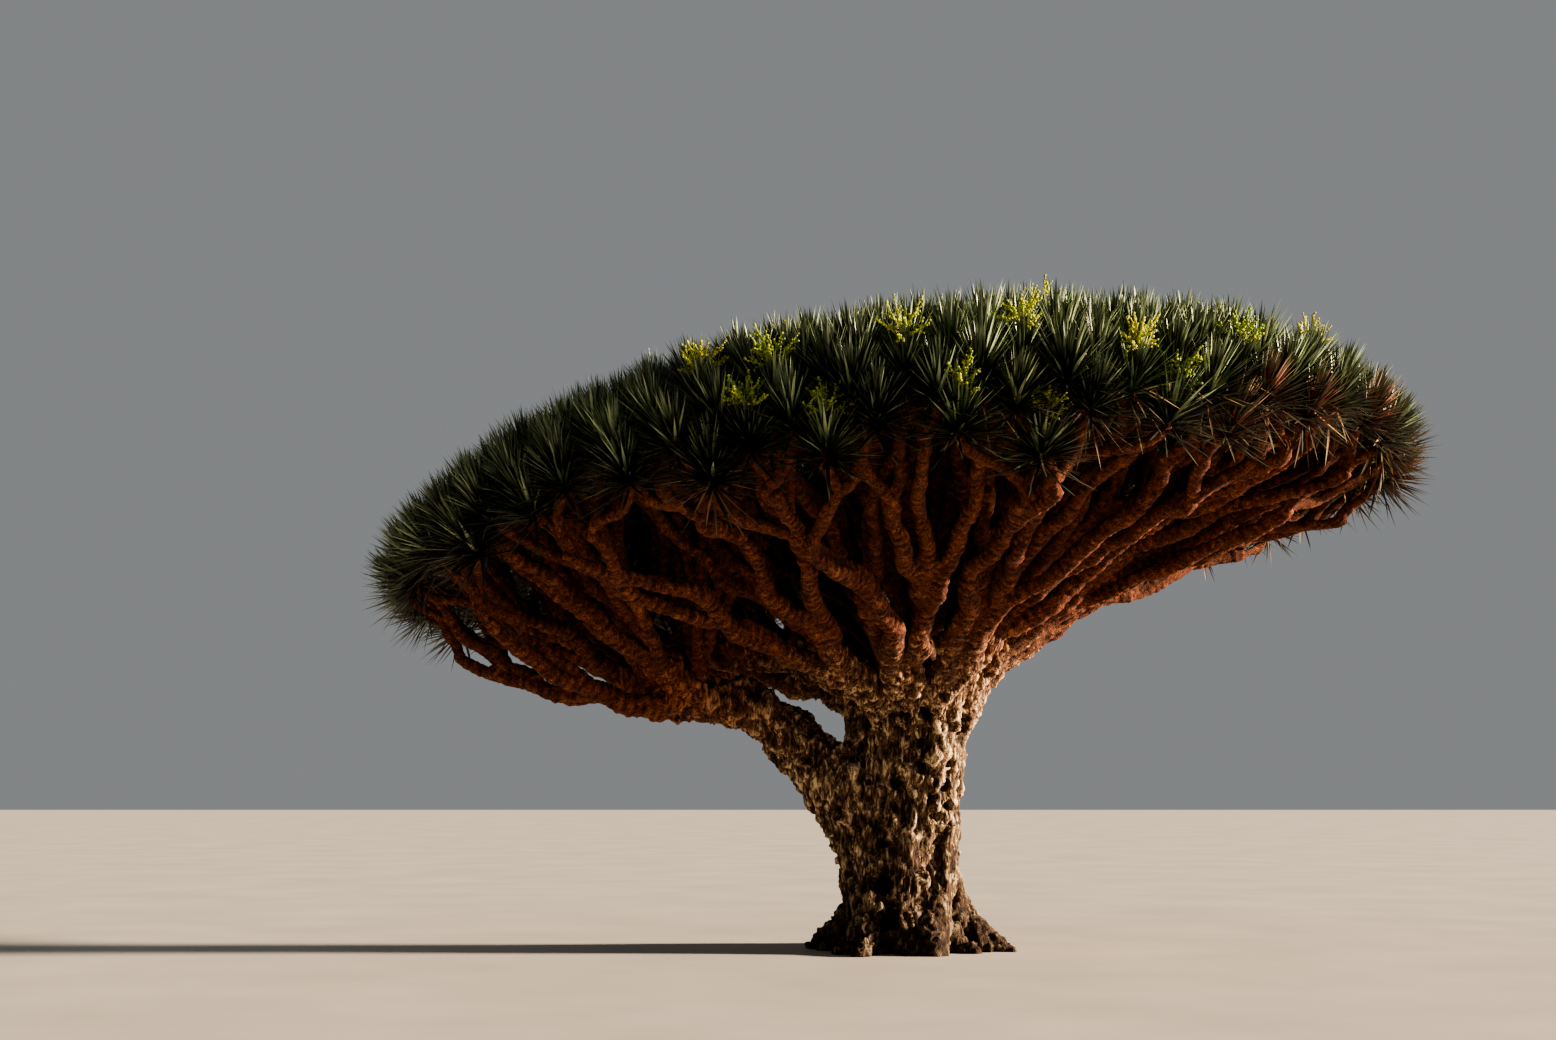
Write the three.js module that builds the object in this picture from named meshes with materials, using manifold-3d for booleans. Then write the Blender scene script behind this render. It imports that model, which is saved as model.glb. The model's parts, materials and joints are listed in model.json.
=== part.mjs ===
// A dragon blood tree: a stout leaning trunk with a root flare, one low limb, a fan of rim boughs like
// umbrella ribs, and a domed crown of leaf masses that rises towards +X and towards the front (-Y).
// Millimetres, +Z up. The origin is the middle of the flat cut under the trunk, at ground level.
import * as THREE from "three";
import { mergeVertices } from "three/addons/utils/BufferGeometryUtils.js";
import Module from "manifold-3d";

const wasm = await Module();
wasm.setup();

// Crown: a half ellipsoid dome on a sloping rim plane, measured at the leaf tips
const CROWN_CENTRE = new THREE.Vector3(20, 0, 3580);
const CROWN_HALF = new THREE.Vector3(4800, 4550, 1870);
const CROWN_POWER = 1.18; // above 1 the dome is steeper on top and sharper at the rim
const CROWN_SLOPE_X = 0.12; // the rim plane rises this much for each unit of +X
const CROWN_SLOPE_Y = -0.12; // and rises towards the front
const CROWN_DEPTH = 780; // from the leaf tips down to the underside of the leaf masses
const RIM_POLAR = 101; // degrees from the crown's top, a little past the widest line

// Rings of leaf masses, from low to high polar angle, in degrees from the crown's top
const CENTRE_CAP = 15.5;
const INNER_RING = { count: 7, polars: [16, 40], offset: 0.25 }; // offset is a share of one sector
const RIM_RING = { count: 14, polars: [40.6, RIM_POLAR], offset: 0 };
const RING_FILL = 0.98; // share of its sector that a mass fills
const MASS_SIDES = 16;
const MASS_TIERS = 6;
const EDGE_SHARE = 0.48; // a mass's edge runs at this share of the crown's depth
const TOP_DIP = 0.07; // how far a mass's top dips towards its edge, as a share of that depth
const SEAM_POLAR = { sway: 2.5, waves: 3 }; // degrees by which the seams between masses wander
const SEAM_AZIMUTH = { sway: 4, waves: 4 };

// Trunk: height and radius, up to the fork
const TRUNK_PROFILE = [
  [0, 560],
  [100, 550],
  [230, 540],
  [430, 520],
  [700, 490],
  [1050, 455],
  [1450, 465],
  [1850, 500],
  [2150, 530],
  [2350, 440],
];
const TRUNK_TOP = 2430;
const TRUNK_SIDES = 28;
const LEAN = { reach: 240, power: 1.3 }; // how far the fork stands over towards +X
const RIDGES = { count: 3, depth: 0.05, twist: 600 }; // twist is the rise for each radian of turn
const ROOTS = { count: 6, turn: 0.6, reach: 580, fall: 180 }; // fall is the flare's height
const LONG_ROOTS = { share: 0.3, turn: 0.5 }; // the roots to the left and right are the longest

// Boughs: radii at the start and end; lead and lift place the bend, as shares of run and rise
const FORK = new THREE.Vector3(230, 0, 2120); // the upper fork, inside the trunk's top
const FORK_SPREAD = 250; // how far from the fork's axis each rim bough starts
const LOW_LIMB = {
  from: new THREE.Vector3(-60, 0, 420),
  over: new THREE.Vector3(-470, -40, 1800),
  to: new THREE.Vector3(-1500, -90, 2230),
  radii: [400, 290],
  sides: 12,
  steps: 7,
  sector: 30, // degrees either side of -X that its boughs serve
  spread: 130,
  lift: -0.1, // its boughs sag before they rise
};
const RIM_BOUGH = { radii: [240, 70], sides: 7, steps: 6, polar: 91, share: 0.26 };
const RIM_LEAD = { mean: 0.45, swing: -0.15 }; // those on the right bend up early
const RIM_LIFT = { mean: 0.45, swing: 0.3 };
const UPPER_FORK = {
  radii: [120, 65],
  sides: 6,
  steps: 4,
  leaves: 0.46, // the place on its rim bough
  polar: 60,
  share: 0.14,
  turn: 6, // degrees of azimuth off its rim bough, to one side and the other in turn
  lead: 0.55,
  lift: 0.4,
};
const INNER_BOUGH = {
  radii: [165, 70],
  sides: 7,
  steps: 5,
  leaves: 0.2,
  polar: 25,
  share: 0.14,
  lead: 0.5,
  lift: 0.45,
};
const CENTRE_BOUGH = { radii: [180, 75], sides: 8, steps: 5, polar: 0, share: 0.14, lead: 0.6, lift: 0.5 };
const SWAY = 90; // each bough swings this far to its sides
const TAPER_POWER = 0.6; // below 1 a bough loses most of its thickness early, where it forks most
const GOLDEN_ANGLE = 2.4; // radians, which sets each piece's phase apart from its neighbours'

const SEAT_GAP = 0.6; // each vertex of a cutting solid is pushed out by this, so cut faces stay clear

const TRUNK_BARK = new THREE.MeshStandardMaterial({ color: 0x8d7350, roughness: 0.95, metalness: 0 });
const BOUGH_BARK = new THREE.MeshStandardMaterial({ color: 0x7c4427, roughness: 0.9, metalness: 0 });
const LEAVES = new THREE.MeshStandardMaterial({ color: 0x2f3f1f, roughness: 0.6, metalness: 0 });

const radians = THREE.MathUtils.degToRad;
const lerp = THREE.MathUtils.lerp;
const powered = (value) => Math.sign(value) * Math.pow(Math.abs(value), CROWN_POWER);
const sector = (ring, i) => (360 / ring.count) * (i + ring.offset);

// A point of the crown: polar angle from its top, azimuth from +X, and a share of its depth,
// 1 at the leaf tips and 0 at the underside of the masses.
function crownPoint(polar, azimuth, share) {
  const inset = CROWN_DEPTH * (1 - share);
  const out = powered(Math.sin(radians(polar)));
  const x = (CROWN_HALF.x - inset) * out * Math.cos(radians(azimuth));
  const y = (CROWN_HALF.y - inset) * out * Math.sin(radians(azimuth));
  const rise = (CROWN_HALF.z - inset) * powered(Math.cos(radians(polar)));
  const z = rise + CROWN_SLOPE_X * x + CROWN_SLOPE_Y * y;
  return new THREE.Vector3(x, y, z).add(CROWN_CENTRE);
}

// The centre line of a bough: a quadratic curve with one slow sideways sway.
class BoughLine extends THREE.Curve {
  constructor(from, over, to, phase) {
    super();
    Object.assign(this, { from, over, to, phase });
    this.side = new THREE.Vector3(from.y - to.y, to.x - from.x, 0).normalize();
  }

  getPoint(t, target = new THREE.Vector3()) {
    const rest = 1 - t;
    const sway = SWAY * Math.sin(Math.PI * t) * Math.sin(2 * Math.PI * t + this.phase);
    return target
      .copy(this.from)
      .multiplyScalar(rest * rest)
      .addScaledVector(this.over, 2 * rest * t)
      .addScaledVector(this.to, t * t)
      .addScaledVector(this.side, sway);
  }
}

function bentLine(from, to, { lead, lift }, phase) {
  const bend = new THREE.Vector3(
    lerp(from.x, to.x, lead),
    lerp(from.y, to.y, lead),
    lerp(from.z, to.z, lift),
  );
  return new BoughLine(from, bend, to, phase);
}

// Each ring of a lathe-turned taper is set square on the line.
function taperedLimb(line, { radii: [thick, thin], sides, steps }) {
  const profile = [new THREE.Vector2(0, 0)];
  for (let i = 0; i <= steps; i++) {
    profile.push(new THREE.Vector2(lerp(thick, thin, Math.pow(i / steps, TAPER_POWER)), i));
  }
  profile.push(new THREE.Vector2(0, steps));
  const geometry = new THREE.LatheGeometry(profile, sides);
  const frames = line.computeFrenetFrames(steps);
  const position = geometry.attributes.position;
  for (let i = 0; i < position.count; i++) {
    const ring = Math.round(position.getY(i));
    const point = line
      .getPointAt(ring / steps)
      .addScaledVector(frames.normals[ring], position.getX(i))
      .addScaledVector(frames.binormals[ring], -position.getZ(i));
    position.setXYZ(i, point.x, point.y, point.z);
  }
  return geometry;
}

// How far the trunk's flare stands out, waning with height. It is strongest along each root.
function rootFlare(azimuth, height) {
  const root = 0.55 + 0.45 * Math.cos(ROOTS.count * azimuth + ROOTS.turn);
  const long = 1 + LONG_ROOTS.share * (Math.cos(2 * azimuth + LONG_ROOTS.turn) - 1);
  return ROOTS.reach * root * long * Math.exp(-height / ROOTS.fall);
}

function trunkGeometry() {
  const profile = [new THREE.Vector2(0, 0)];
  for (const [height, radius] of TRUNK_PROFILE) profile.push(new THREE.Vector2(radius, height));
  profile.push(new THREE.Vector2(0, TRUNK_TOP));
  const geometry = new THREE.LatheGeometry(profile, TRUNK_SIDES);
  const position = geometry.attributes.position;
  for (let i = 0; i < position.count; i++) {
    const [x, height, z] = [position.getX(i), position.getY(i), position.getZ(i)];
    const azimuth = Math.atan2(-z, x);
    const ridge = 1 + RIDGES.depth * Math.cos(RIDGES.count * azimuth + height / RIDGES.twist);
    const onAxis = x === 0 && z === 0;
    const reach = onAxis ? 0 : Math.hypot(x, z) * ridge + rootFlare(azimuth, height);
    const lean = LEAN.reach * Math.pow(height / TRUNK_TOP, LEAN.power);
    position.setXYZ(i, lean + reach * Math.cos(azimuth), reach * Math.sin(azimuth), height);
  }
  return geometry;
}

// A cushion of leaves on the crown. A sphere's height becomes a share of the crown's depth, and its
// plan is laid out by place, which gives a [polar, azimuth] for each turn and distance out.
function leafMass(place, phase) {
  const geometry = new THREE.SphereGeometry(1, MASS_SIDES, MASS_TIERS);
  const position = geometry.attributes.position;
  for (let i = 0; i < position.count; i++) {
    const [x, y, z] = [position.getX(i), position.getY(i), position.getZ(i)];
    const turn = Math.atan2(-z, x);
    const out = Math.hypot(x, z);
    const height = Math.sign(y) * Math.sqrt(Math.abs(y));
    const top = 1 - TOP_DIP * out * (1 + Math.cos(2 * turn + phase));
    const share = height > 0 ? lerp(EDGE_SHARE, top, height) : EDGE_SHARE * (1 + height);
    const point = crownPoint(...wandered(place(turn, out)), share);
    position.setXYZ(i, point.x, point.y, point.z);
  }
  return geometry;
}

// All masses share this warp of the crown's surface, so their seams wander but stay clear.
function wandered([polar, azimuth]) {
  const fade = Math.sin((Math.PI * polar) / RIM_POLAR);
  return [
    polar + SEAM_POLAR.sway * fade * Math.sin(radians(SEAM_POLAR.waves * azimuth)),
    azimuth + SEAM_AZIMUTH.sway * Math.sin(radians(SEAM_AZIMUTH.waves * polar)),
  ];
}

// The plan of one mass in a ring: a rectangle of polar angle and azimuth
function sectorPlan(ring, i) {
  const [low, high] = ring.polars;
  const halfPolar = (high - low) / 2;
  const halfAzimuth = (180 / ring.count) * RING_FILL;
  return (turn, out) => {
    const stretch = out / Math.max(Math.abs(Math.cos(turn)), Math.abs(Math.sin(turn)));
    return [
      low + halfPolar * (1 + stretch * Math.cos(turn)),
      sector(ring, i) + halfAzimuth * stretch * Math.sin(turn),
    ];
  };
}

const capPlan = (turn, out) => [CENTRE_CAP * out, THREE.MathUtils.radToDeg(turn)];

// A closed solid of the geometry, with each vertex pushed out along its normal
function solidOf(geometry, push = 0) {
  const bare = geometry.clone();
  bare.deleteAttribute("normal");
  bare.deleteAttribute("uv");
  const mesh = mergeVertices(bare, 1e-3);
  mesh.computeVertexNormals();
  const vertex = new THREE.Vector3();
  const normal = new THREE.Vector3();
  const vertProperties = new Float32Array(mesh.attributes.position.count * 3);
  for (let i = 0; i < mesh.attributes.position.count; i++) {
    normal.fromBufferAttribute(mesh.attributes.normal, i);
    vertex.fromBufferAttribute(mesh.attributes.position, i).addScaledVector(normal, push);
    vertex.toArray(vertProperties, 3 * i);
  }
  const triVerts = new Uint32Array(mesh.index.array);
  return new wasm.Manifold(new wasm.Mesh({ numProp: 3, vertProperties, triVerts }));
}

function geometryOf(solid) {
  const mesh = solid.getMesh();
  const geometry = new THREE.BufferGeometry();
  geometry.setAttribute("position", new THREE.BufferAttribute(mesh.vertProperties, 3));
  geometry.setIndex(new THREE.BufferAttribute(mesh.triVerts, 1));
  geometry.computeVertexNormals();
  return geometry;
}

const tree = new THREE.Group();
const cutters = []; // a grown solid of each finished part, uncut, with its box

const boxOf = (geometry) => new THREE.Box3().setFromBufferAttribute(geometry.attributes.position);

function add(name, geometry, material, uncut = geometry) {
  const mesh = new THREE.Mesh(geometry, material);
  mesh.name = name;
  tree.add(mesh);
  cutters.push({ solid: solidOf(uncut, SEAT_GAP), box: boxOf(uncut) });
}

// A bough is cut by all that it grows from, passes or enters, and its largest piece is kept.
function addBough(name, geometry) {
  const box = boxOf(geometry);
  let solid = solidOf(geometry);
  for (const cutter of cutters) {
    if (cutter.box.intersectsBox(box)) solid = solid.subtract(cutter.solid);
  }
  const pieces = solid.decompose().sort((a, b) => b.volume() - a.volume());
  add(name, geometryOf(pieces[0]), BOUGH_BARK, geometry);
}

const numbered = (name, i) => `${name}_${String(i + 1).padStart(2, "0")}`;

// Leaf masses
function addRing(name, ring) {
  for (let i = 0; i < ring.count; i++) {
    add(numbered(name, i), leafMass(sectorPlan(ring, i), GOLDEN_ANGLE * i), LEAVES);
  }
}
add("foliage_centre", leafMass(capPlan, 0), LEAVES);
addRing("foliage_inner", INNER_RING);
addRing("foliage_rim", RIM_RING);

// Trunk and low limb
add("trunk", trunkGeometry(), TRUNK_BARK);
const lowLine = new BoughLine(LOW_LIMB.from, LOW_LIMB.over, LOW_LIMB.to, 0);
addBough("low_limb", taperedLimb(lowLine, LOW_LIMB));

// Rim boughs, like the ribs of an umbrella, from the upper fork or from the low limb's end
function rimLine(i) {
  const azimuth = sector(RIM_RING, i);
  const [east, north] = [Math.cos(radians(azimuth)), Math.sin(radians(azimuth))];
  const low = Math.abs(azimuth - 180) < LOW_LIMB.sector;
  const hub = low ? LOW_LIMB.to : FORK;
  const spread = low ? LOW_LIMB.spread : FORK_SPREAD;
  const from = new THREE.Vector3(spread * east, spread * north, 0).add(hub);
  const to = crownPoint(RIM_BOUGH.polar, azimuth, RIM_BOUGH.share);
  const lead = RIM_LEAD.mean + RIM_LEAD.swing * east;
  const lift = low ? LOW_LIMB.lift : RIM_LIFT.mean + RIM_LIFT.swing * east;
  return bentLine(from, to, { lead, lift }, GOLDEN_ANGLE * i);
}
const rimLines = Array.from({ length: RIM_RING.count }, (_, i) => rimLine(i));
rimLines.forEach((line, i) => addBough(numbered("rim_bough", i), taperedLimb(line, RIM_BOUGH)));

// An upper fork on each rim bough, into the upper part of the same mass
rimLines.forEach((line, i) => {
  const azimuth = sector(RIM_RING, i) + UPPER_FORK.turn * (i % 2 ? 1 : -1);
  const to = crownPoint(UPPER_FORK.polar, azimuth, UPPER_FORK.share);
  const fork = bentLine(line.getPoint(UPPER_FORK.leaves), to, UPPER_FORK, GOLDEN_ANGLE * i);
  addBough(numbered("upper_fork", i), taperedLimb(fork, UPPER_FORK));
});

// Inner boughs leave every second rim bough low down and rise into the inner ring.
for (let i = 0; i < INNER_RING.count; i++) {
  const from = rimLines[2 * i].getPoint(INNER_BOUGH.leaves);
  const to = crownPoint(INNER_BOUGH.polar, sector(INNER_RING, i), INNER_BOUGH.share);
  const inner = bentLine(from, to, INNER_BOUGH, GOLDEN_ANGLE * i);
  addBough(numbered("inner_bough", i), taperedLimb(inner, INNER_BOUGH));
}

const crownMiddle = crownPoint(CENTRE_BOUGH.polar, 0, CENTRE_BOUGH.share);
const centreLine = bentLine(FORK, crownMiddle, CENTRE_BOUGH, 2 * GOLDEN_ANGLE);
addBough("centre_bough", taperedLimb(centreLine, CENTRE_BOUGH));

export default tree;
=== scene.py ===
# %% [markdown]
# Dragon blood tree, lesson 1: the frame.
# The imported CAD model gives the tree's true sizes: trunk, boughs and leaf masses as plain solids, in
# metres, with the origin in the middle of the trunk's flat foot. Everything below keeps to its sizes.

# %% Load the frame
import json
import math

import bmesh
import bpy
import numpy as np
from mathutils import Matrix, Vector
from mathutils.bvhtree import BVHTree
from mathutils.kdtree import KDTree

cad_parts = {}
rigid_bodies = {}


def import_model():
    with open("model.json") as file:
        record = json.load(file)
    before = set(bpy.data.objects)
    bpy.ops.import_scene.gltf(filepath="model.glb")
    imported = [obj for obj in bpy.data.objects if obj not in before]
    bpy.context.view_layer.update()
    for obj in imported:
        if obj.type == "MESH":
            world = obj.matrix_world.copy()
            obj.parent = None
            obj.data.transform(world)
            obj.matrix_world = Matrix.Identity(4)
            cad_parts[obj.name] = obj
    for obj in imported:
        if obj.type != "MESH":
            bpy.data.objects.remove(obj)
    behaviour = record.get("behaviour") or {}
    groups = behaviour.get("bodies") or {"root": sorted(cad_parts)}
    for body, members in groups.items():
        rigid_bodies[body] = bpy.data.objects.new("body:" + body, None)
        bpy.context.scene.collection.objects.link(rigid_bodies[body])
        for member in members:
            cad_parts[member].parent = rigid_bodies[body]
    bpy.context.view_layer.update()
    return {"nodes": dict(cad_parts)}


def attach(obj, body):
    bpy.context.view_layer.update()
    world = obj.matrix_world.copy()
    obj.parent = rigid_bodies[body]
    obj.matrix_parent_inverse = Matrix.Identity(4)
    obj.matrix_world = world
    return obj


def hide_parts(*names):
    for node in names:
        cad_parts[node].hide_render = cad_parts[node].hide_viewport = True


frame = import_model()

# %% [markdown]
# The camera stands where a person would, 17 m in front of the tree and a metre left of it, and looks
# slightly up, so that the crown's underside shows.
# The lens follows from the picture's width and a focal length measured in its pixels.

# %% Camera
PHOTO_WIDTH = 1556  # pixels
FOCAL_PIXELS = 1900
SENSOR = 36.0  # mm, along the picture's width
EYE = Vector((-1.06, -17.2, 1.45))  # m
LOOK_UP = math.radians(7.9)

camera = bpy.data.objects.new("camera", bpy.data.cameras.new("camera"))
camera.data.sensor_width = SENSOR
camera.data.lens = SENSOR * FOCAL_PIXELS / PHOTO_WIDTH
camera.location = EYE
camera.rotation_euler = (math.radians(90) + LOOK_UP, 0, 0)
bpy.context.scene.collection.objects.link(camera)
bpy.context.scene.camera = camera
print(f"lens {camera.data.lens:.1f} mm")

# %% [markdown]
# Node trees for shapes and for finishes are built with the same small helper: it adds one node, sets
# its properties, and fills its sockets with values or with links from other nodes. The nodes that come
# up most have short forms of their own.
# Colours are written as sRGB hex, as a paint chart gives them, and turned to linear light once.

# %% Helpers for node trees
def socket_of(sockets, key):
    if isinstance(key, int):
        return sockets[key]
    return next(socket for socket in sockets if socket.identifier == key)


def add_node(tree, kind, inputs=None, stops=(), **settings):
    """Adds a node and fills its sockets. A node given as a value stands for its first output in use."""
    node = tree.nodes.new(kind)
    for name, value in settings.items():
        setattr(node, name, value)
    for key, value in (inputs or {}).items():
        socket = socket_of(node.inputs, key)
        if isinstance(value, bpy.types.Node):
            value = next(output for output in value.outputs if output.enabled)
        if isinstance(value, bpy.types.NodeSocket):
            tree.links.new(value, socket)
        else:
            socket.default_value = value
    for k, (place, colour) in enumerate(stops):
        stop = node.color_ramp.elements[k] if k < 2 else node.color_ramp.elements.new(place)
        stop.position = place
        stop.color = linear(colour)
    return node


def maths(tree, operation, *values, **settings):
    """A Math node, with its values in the order of its sockets."""
    return add_node(tree, "ShaderNodeMath", dict(enumerate(values)), operation=operation, **settings)


def vector_maths(tree, operation, *values, **named):
    """A Vector Math node, with further sockets by their names."""
    inputs = {**dict(enumerate(values)), **named}
    return add_node(tree, "ShaderNodeVectorMath", inputs, operation=operation)


def map_range(tree, value, start, end, first=0.0, last=1.0):
    """Maps a value from the first two limits to the last two, and keeps it between these."""
    limits = {"Value": value, "From Min": start, "From Max": end, "To Min": first, "To Max": last}
    return add_node(tree, "ShaderNodeMapRange", limits)


def noise(tree, place, waves, **settings):
    """Noise with so many waves in a metre. The settings are sockets such as Detail and Roughness."""
    return add_node(tree, "ShaderNodeTexNoise", {"Vector": place, "Scale": waves, **settings})


def linear(colour):
    """An sRGB hex colour as linear red, green, blue and alpha, by the standard's own formula."""
    shares = [int(colour[i : i + 2], 16) / 255 for i in (1, 3, 5)]
    return [s / 12.92 if s <= 0.04045 else ((s + 0.055) / 1.055) ** 2.4 for s in shares] + [1]


# %% [markdown]
# A Geometry Nodes tree gets named inputs for its sizes, and the modifier sets them by the socket's
# identifier, before the object is first evaluated. The result is taken as a plain mesh, and both the
# modifier and its source object are removed.

# %% Helpers for shapes
def mesh_object(name, points, edges=(), faces=(), **attributes):
    """A mesh object, with a point attribute for each further array of numbers or vectors."""
    mesh = bpy.data.meshes.new(name)
    mesh.from_pydata(np.asarray(points).tolist(), list(edges), list(faces))
    for key, values in attributes.items():
        flat = np.ndim(values) == 1
        attribute = mesh.attributes.new(key, "FLOAT" if flat else "FLOAT_VECTOR", "POINT")
        values = np.asarray(values, np.float32).ravel()
        attribute.data.foreach_set("value" if flat else "vector", values)
    piece = bpy.data.objects.new(name, mesh)
    bpy.context.scene.collection.objects.link(piece)
    return piece


def new_tree(name, sizes):
    """A Geometry Nodes tree with a geometry input and named inputs for its sizes."""
    tree = bpy.data.node_groups.new(name, "GeometryNodeTree")
    geometry = "NodeSocketGeometry"
    tree.interface.new_socket("Geometry", in_out="INPUT", socket_type=geometry)
    for label, kind in sizes.items():
        tree.interface.new_socket(label, in_out="INPUT", socket_type="NodeSocket" + kind)
    tree.interface.new_socket("Geometry", in_out="OUTPUT", socket_type=geometry)
    inputs = {item.name: item for item in add_node(tree, "NodeGroupInput").outputs}
    return tree, inputs


def read_attribute(tree, name, kind="FLOAT"):
    return add_node(tree, "GeometryNodeInputNamedAttribute", {"Name": name}, data_type=kind)


def write_attribute(tree, geometry, name, value):
    kept = {"Geometry": geometry, "Name": name, "Value": value}
    return add_node(tree, "GeometryNodeStoreNamedAttribute", kept, data_type="FLOAT", domain="POINT")


def random_number(tree, low, high, seed):
    """An output that holds a random number between two limits for each point."""
    limits = {"Min_001": low, "Max_001": high, "Seed": seed}
    return add_node(tree, "FunctionNodeRandomValue", limits, data_type="FLOAT").outputs[1]


def end_tree(tree, geometry, material):
    """Ends a tree with real geometry in place of instances, and with its material."""
    real = add_node(tree, "GeometryNodeRealizeInstances", {0: geometry})
    smooth = add_node(tree, "GeometryNodeSetShadeSmooth", {0: real})
    made = add_node(tree, "GeometryNodeSetMaterial", {0: smooth, "Material": material})
    add_node(tree, "NodeGroupOutput", {0: made})


def plain_mesh(source, name):
    """The source as its modifiers leave it, as a new object with a plain mesh."""
    evaluated = source.evaluated_get(bpy.context.evaluated_depsgraph_get())
    mesh = bpy.data.meshes.new_from_object(evaluated)
    mesh.name = name
    bpy.data.objects.remove(source)
    piece = bpy.data.objects.new(name, mesh)
    bpy.context.scene.collection.objects.link(piece)
    mesh.calc_loop_triangles()
    print(f"{name}: {len(mesh.loop_triangles)} triangles")
    return piece


def run_tree(tree, source, name, values):
    """Runs a Geometry Nodes tree on the source, with these values for its named inputs."""
    modifier = source.modifiers.new(tree.name, "NODES")
    modifier.node_group = tree
    for item in tree.interface.items_tree:
        if item.in_out == "INPUT" and item.name in values:
            modifier[item.identifier] = values[item.name]
    return plain_mesh(source, name)


# %% [markdown]
# Lesson 2: the plan of the crown.
# The CAD model describes the crown as half an ellipsoid on a sloping rim plane, and places a point by
# its polar angle from the top, its azimuth and a share of the crown's depth. The same rule is repeated
# here in metres, so that each leaf rosette finds its place on that surface.

# %% The crown's rule
CROWN_CENTRE = np.array((0.02, 0.0, 3.58))  # m
CROWN_HALF = np.array((4.80, 4.55, 1.87))  # m, half its widths and its height above the rim plane
CROWN_POWER = 1.18  # of its sines and cosines, a little more pointed than a true ellipsoid
CROWN_SLOPE = np.array((0.12, -0.12))  # m of rise for each metre to the right and to the back
CROWN_DEPTH = 0.78  # m of leaves and twigs under its surface
GOLDEN_ANGLE = 2.4  # radians
RIM_BOUGHS = 14
INNER_BOUGHS = 7
SECTOR = 360 / RIM_BOUGHS  # degrees of azimuth for each rim bough
INNER_SECTOR = 360 / INNER_BOUGHS
INNER_SHIFT = 0.25  # sectors by which the inner boughs are turned round


def powered(value):
    """A sine or cosine to the crown's power, with its sign kept."""
    return np.sign(value) * np.abs(value) ** CROWN_POWER


def crown_point(polar, azimuth, share):
    """Points of the crown for polar angles and azimuths in degrees, at a share of its depth."""
    polar, azimuth = np.radians(polar), np.radians(azimuth)
    half = CROWN_HALF - CROWN_DEPTH * (1 - share)
    out = powered(np.sin(polar))
    x = half[0] * out * np.cos(azimuth)
    y = half[1] * out * np.sin(azimuth)
    z = half[2] * powered(np.cos(polar)) + CROWN_SLOPE[0] * x + CROWN_SLOPE[1] * y
    return np.stack([x, y, z], axis=-1) + CROWN_CENTRE


# %% [markdown]
# Seen from above, the leaf rosettes stand about 40 cm apart all over the dome. A sunflower spiral
# spreads them evenly: each one turns by the golden angle from the last, and the polar angle grows so
# that each rosette gets the same area of the dome. A little seeded jitter hides the spiral.
# In the middle of the crown a rosette stands nearly upright, and far aside it leans out with the dome.
# The lowest rosettes stand higher at the right and at the back, and dip in the middle of the front.

# %% Places of the leaf rosettes
SEED = 20
RIM_POLAR = 91  # degrees, the lowest rosettes
RIM_TILT = np.array((-4, -10))  # degrees lower at the right and at the back, so minus is higher
BACK_TILT = -8  # degrees more at the back alone
TILT_POWER = 3  # the tilt fades out towards the crown's top as this power of the polar angle
FRONT_DIP = (280, 24, 12)  # degrees: azimuth, half width and depth of a dip in the rim at the front
ROSETTES = 590
ROSETTE_SHARE = 0.46  # of the crown's depth
JITTER = 0.07  # m
LEAST_WIDTH = 0.4  # m from the crown's middle, at which the jitter's turn stops growing
UPWARDS = (2.4, 0.5)  # how far a rosette turns up from the dome's normal, in the middle and far aside
UPWARDS_REACHES = (0.5, 0.95)  # shares of the crown's half width, for these two
RING_COUNT = 200  # rings of cells that measure the dome's area
COLUMN_STEP = 10  # degrees of azimuth between their columns

random = np.random.default_rng(SEED)


def unit(vectors):
    return vectors / np.linalg.norm(vectors, axis=-1, keepdims=True)


def rosette_polars():
    """Polar angles, in degrees, that give each rosette the same area of the dome."""
    polars = np.linspace(0, RIM_POLAR, RING_COUNT)
    azimuths = np.arange(0, 360, COLUMN_STEP)
    grid = crown_point(polars[:, None], azimuths[None, :], 1)
    down = np.diff(grid, axis=0)
    round_about = np.roll(grid, -1, axis=1) - grid
    rings = np.linalg.norm(np.cross(down, round_about[1:]), axis=-1).sum(axis=1)
    area = np.concatenate([[0], np.cumsum(rings)])
    print(f"dome {area[-1]:.0f} square metres, a rosette every {math.sqrt(area[-1] / ROSETTES):.2f} m")
    return np.interp((np.arange(ROSETTES) + 0.5) / ROSETTES * area[-1], area, polars)


def rosette_plan(level):
    """Polar angles and azimuths, in degrees, with the rim's tilt and the jitter laid on."""
    azimuth = np.degrees(GOLDEN_ANGLE * np.arange(ROSETTES)) % 360
    east, north = np.cos(np.radians(azimuth)), np.sin(np.radians(azimuth))
    tilt = RIM_TILT[0] * east + RIM_TILT[1] * north + BACK_TILT * north.clip(0)
    middle, half_width, depth = FRONT_DIP
    tilt = tilt + depth * np.exp(-(((azimuth - middle) / half_width) ** 2))
    polar = level * (1 + tilt / RIM_POLAR * (level / RIM_POLAR) ** TILT_POWER)
    width = np.maximum(CROWN_HALF[0] * np.sin(np.radians(polar)), LEAST_WIDTH)
    polar = polar + np.degrees(random.uniform(-JITTER, JITTER, ROSETTES) / CROWN_HALF[0])
    azimuth = azimuth + np.degrees(random.uniform(-JITTER, JITTER, ROSETTES) / width)
    return np.abs(polar), azimuth % 360


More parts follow.
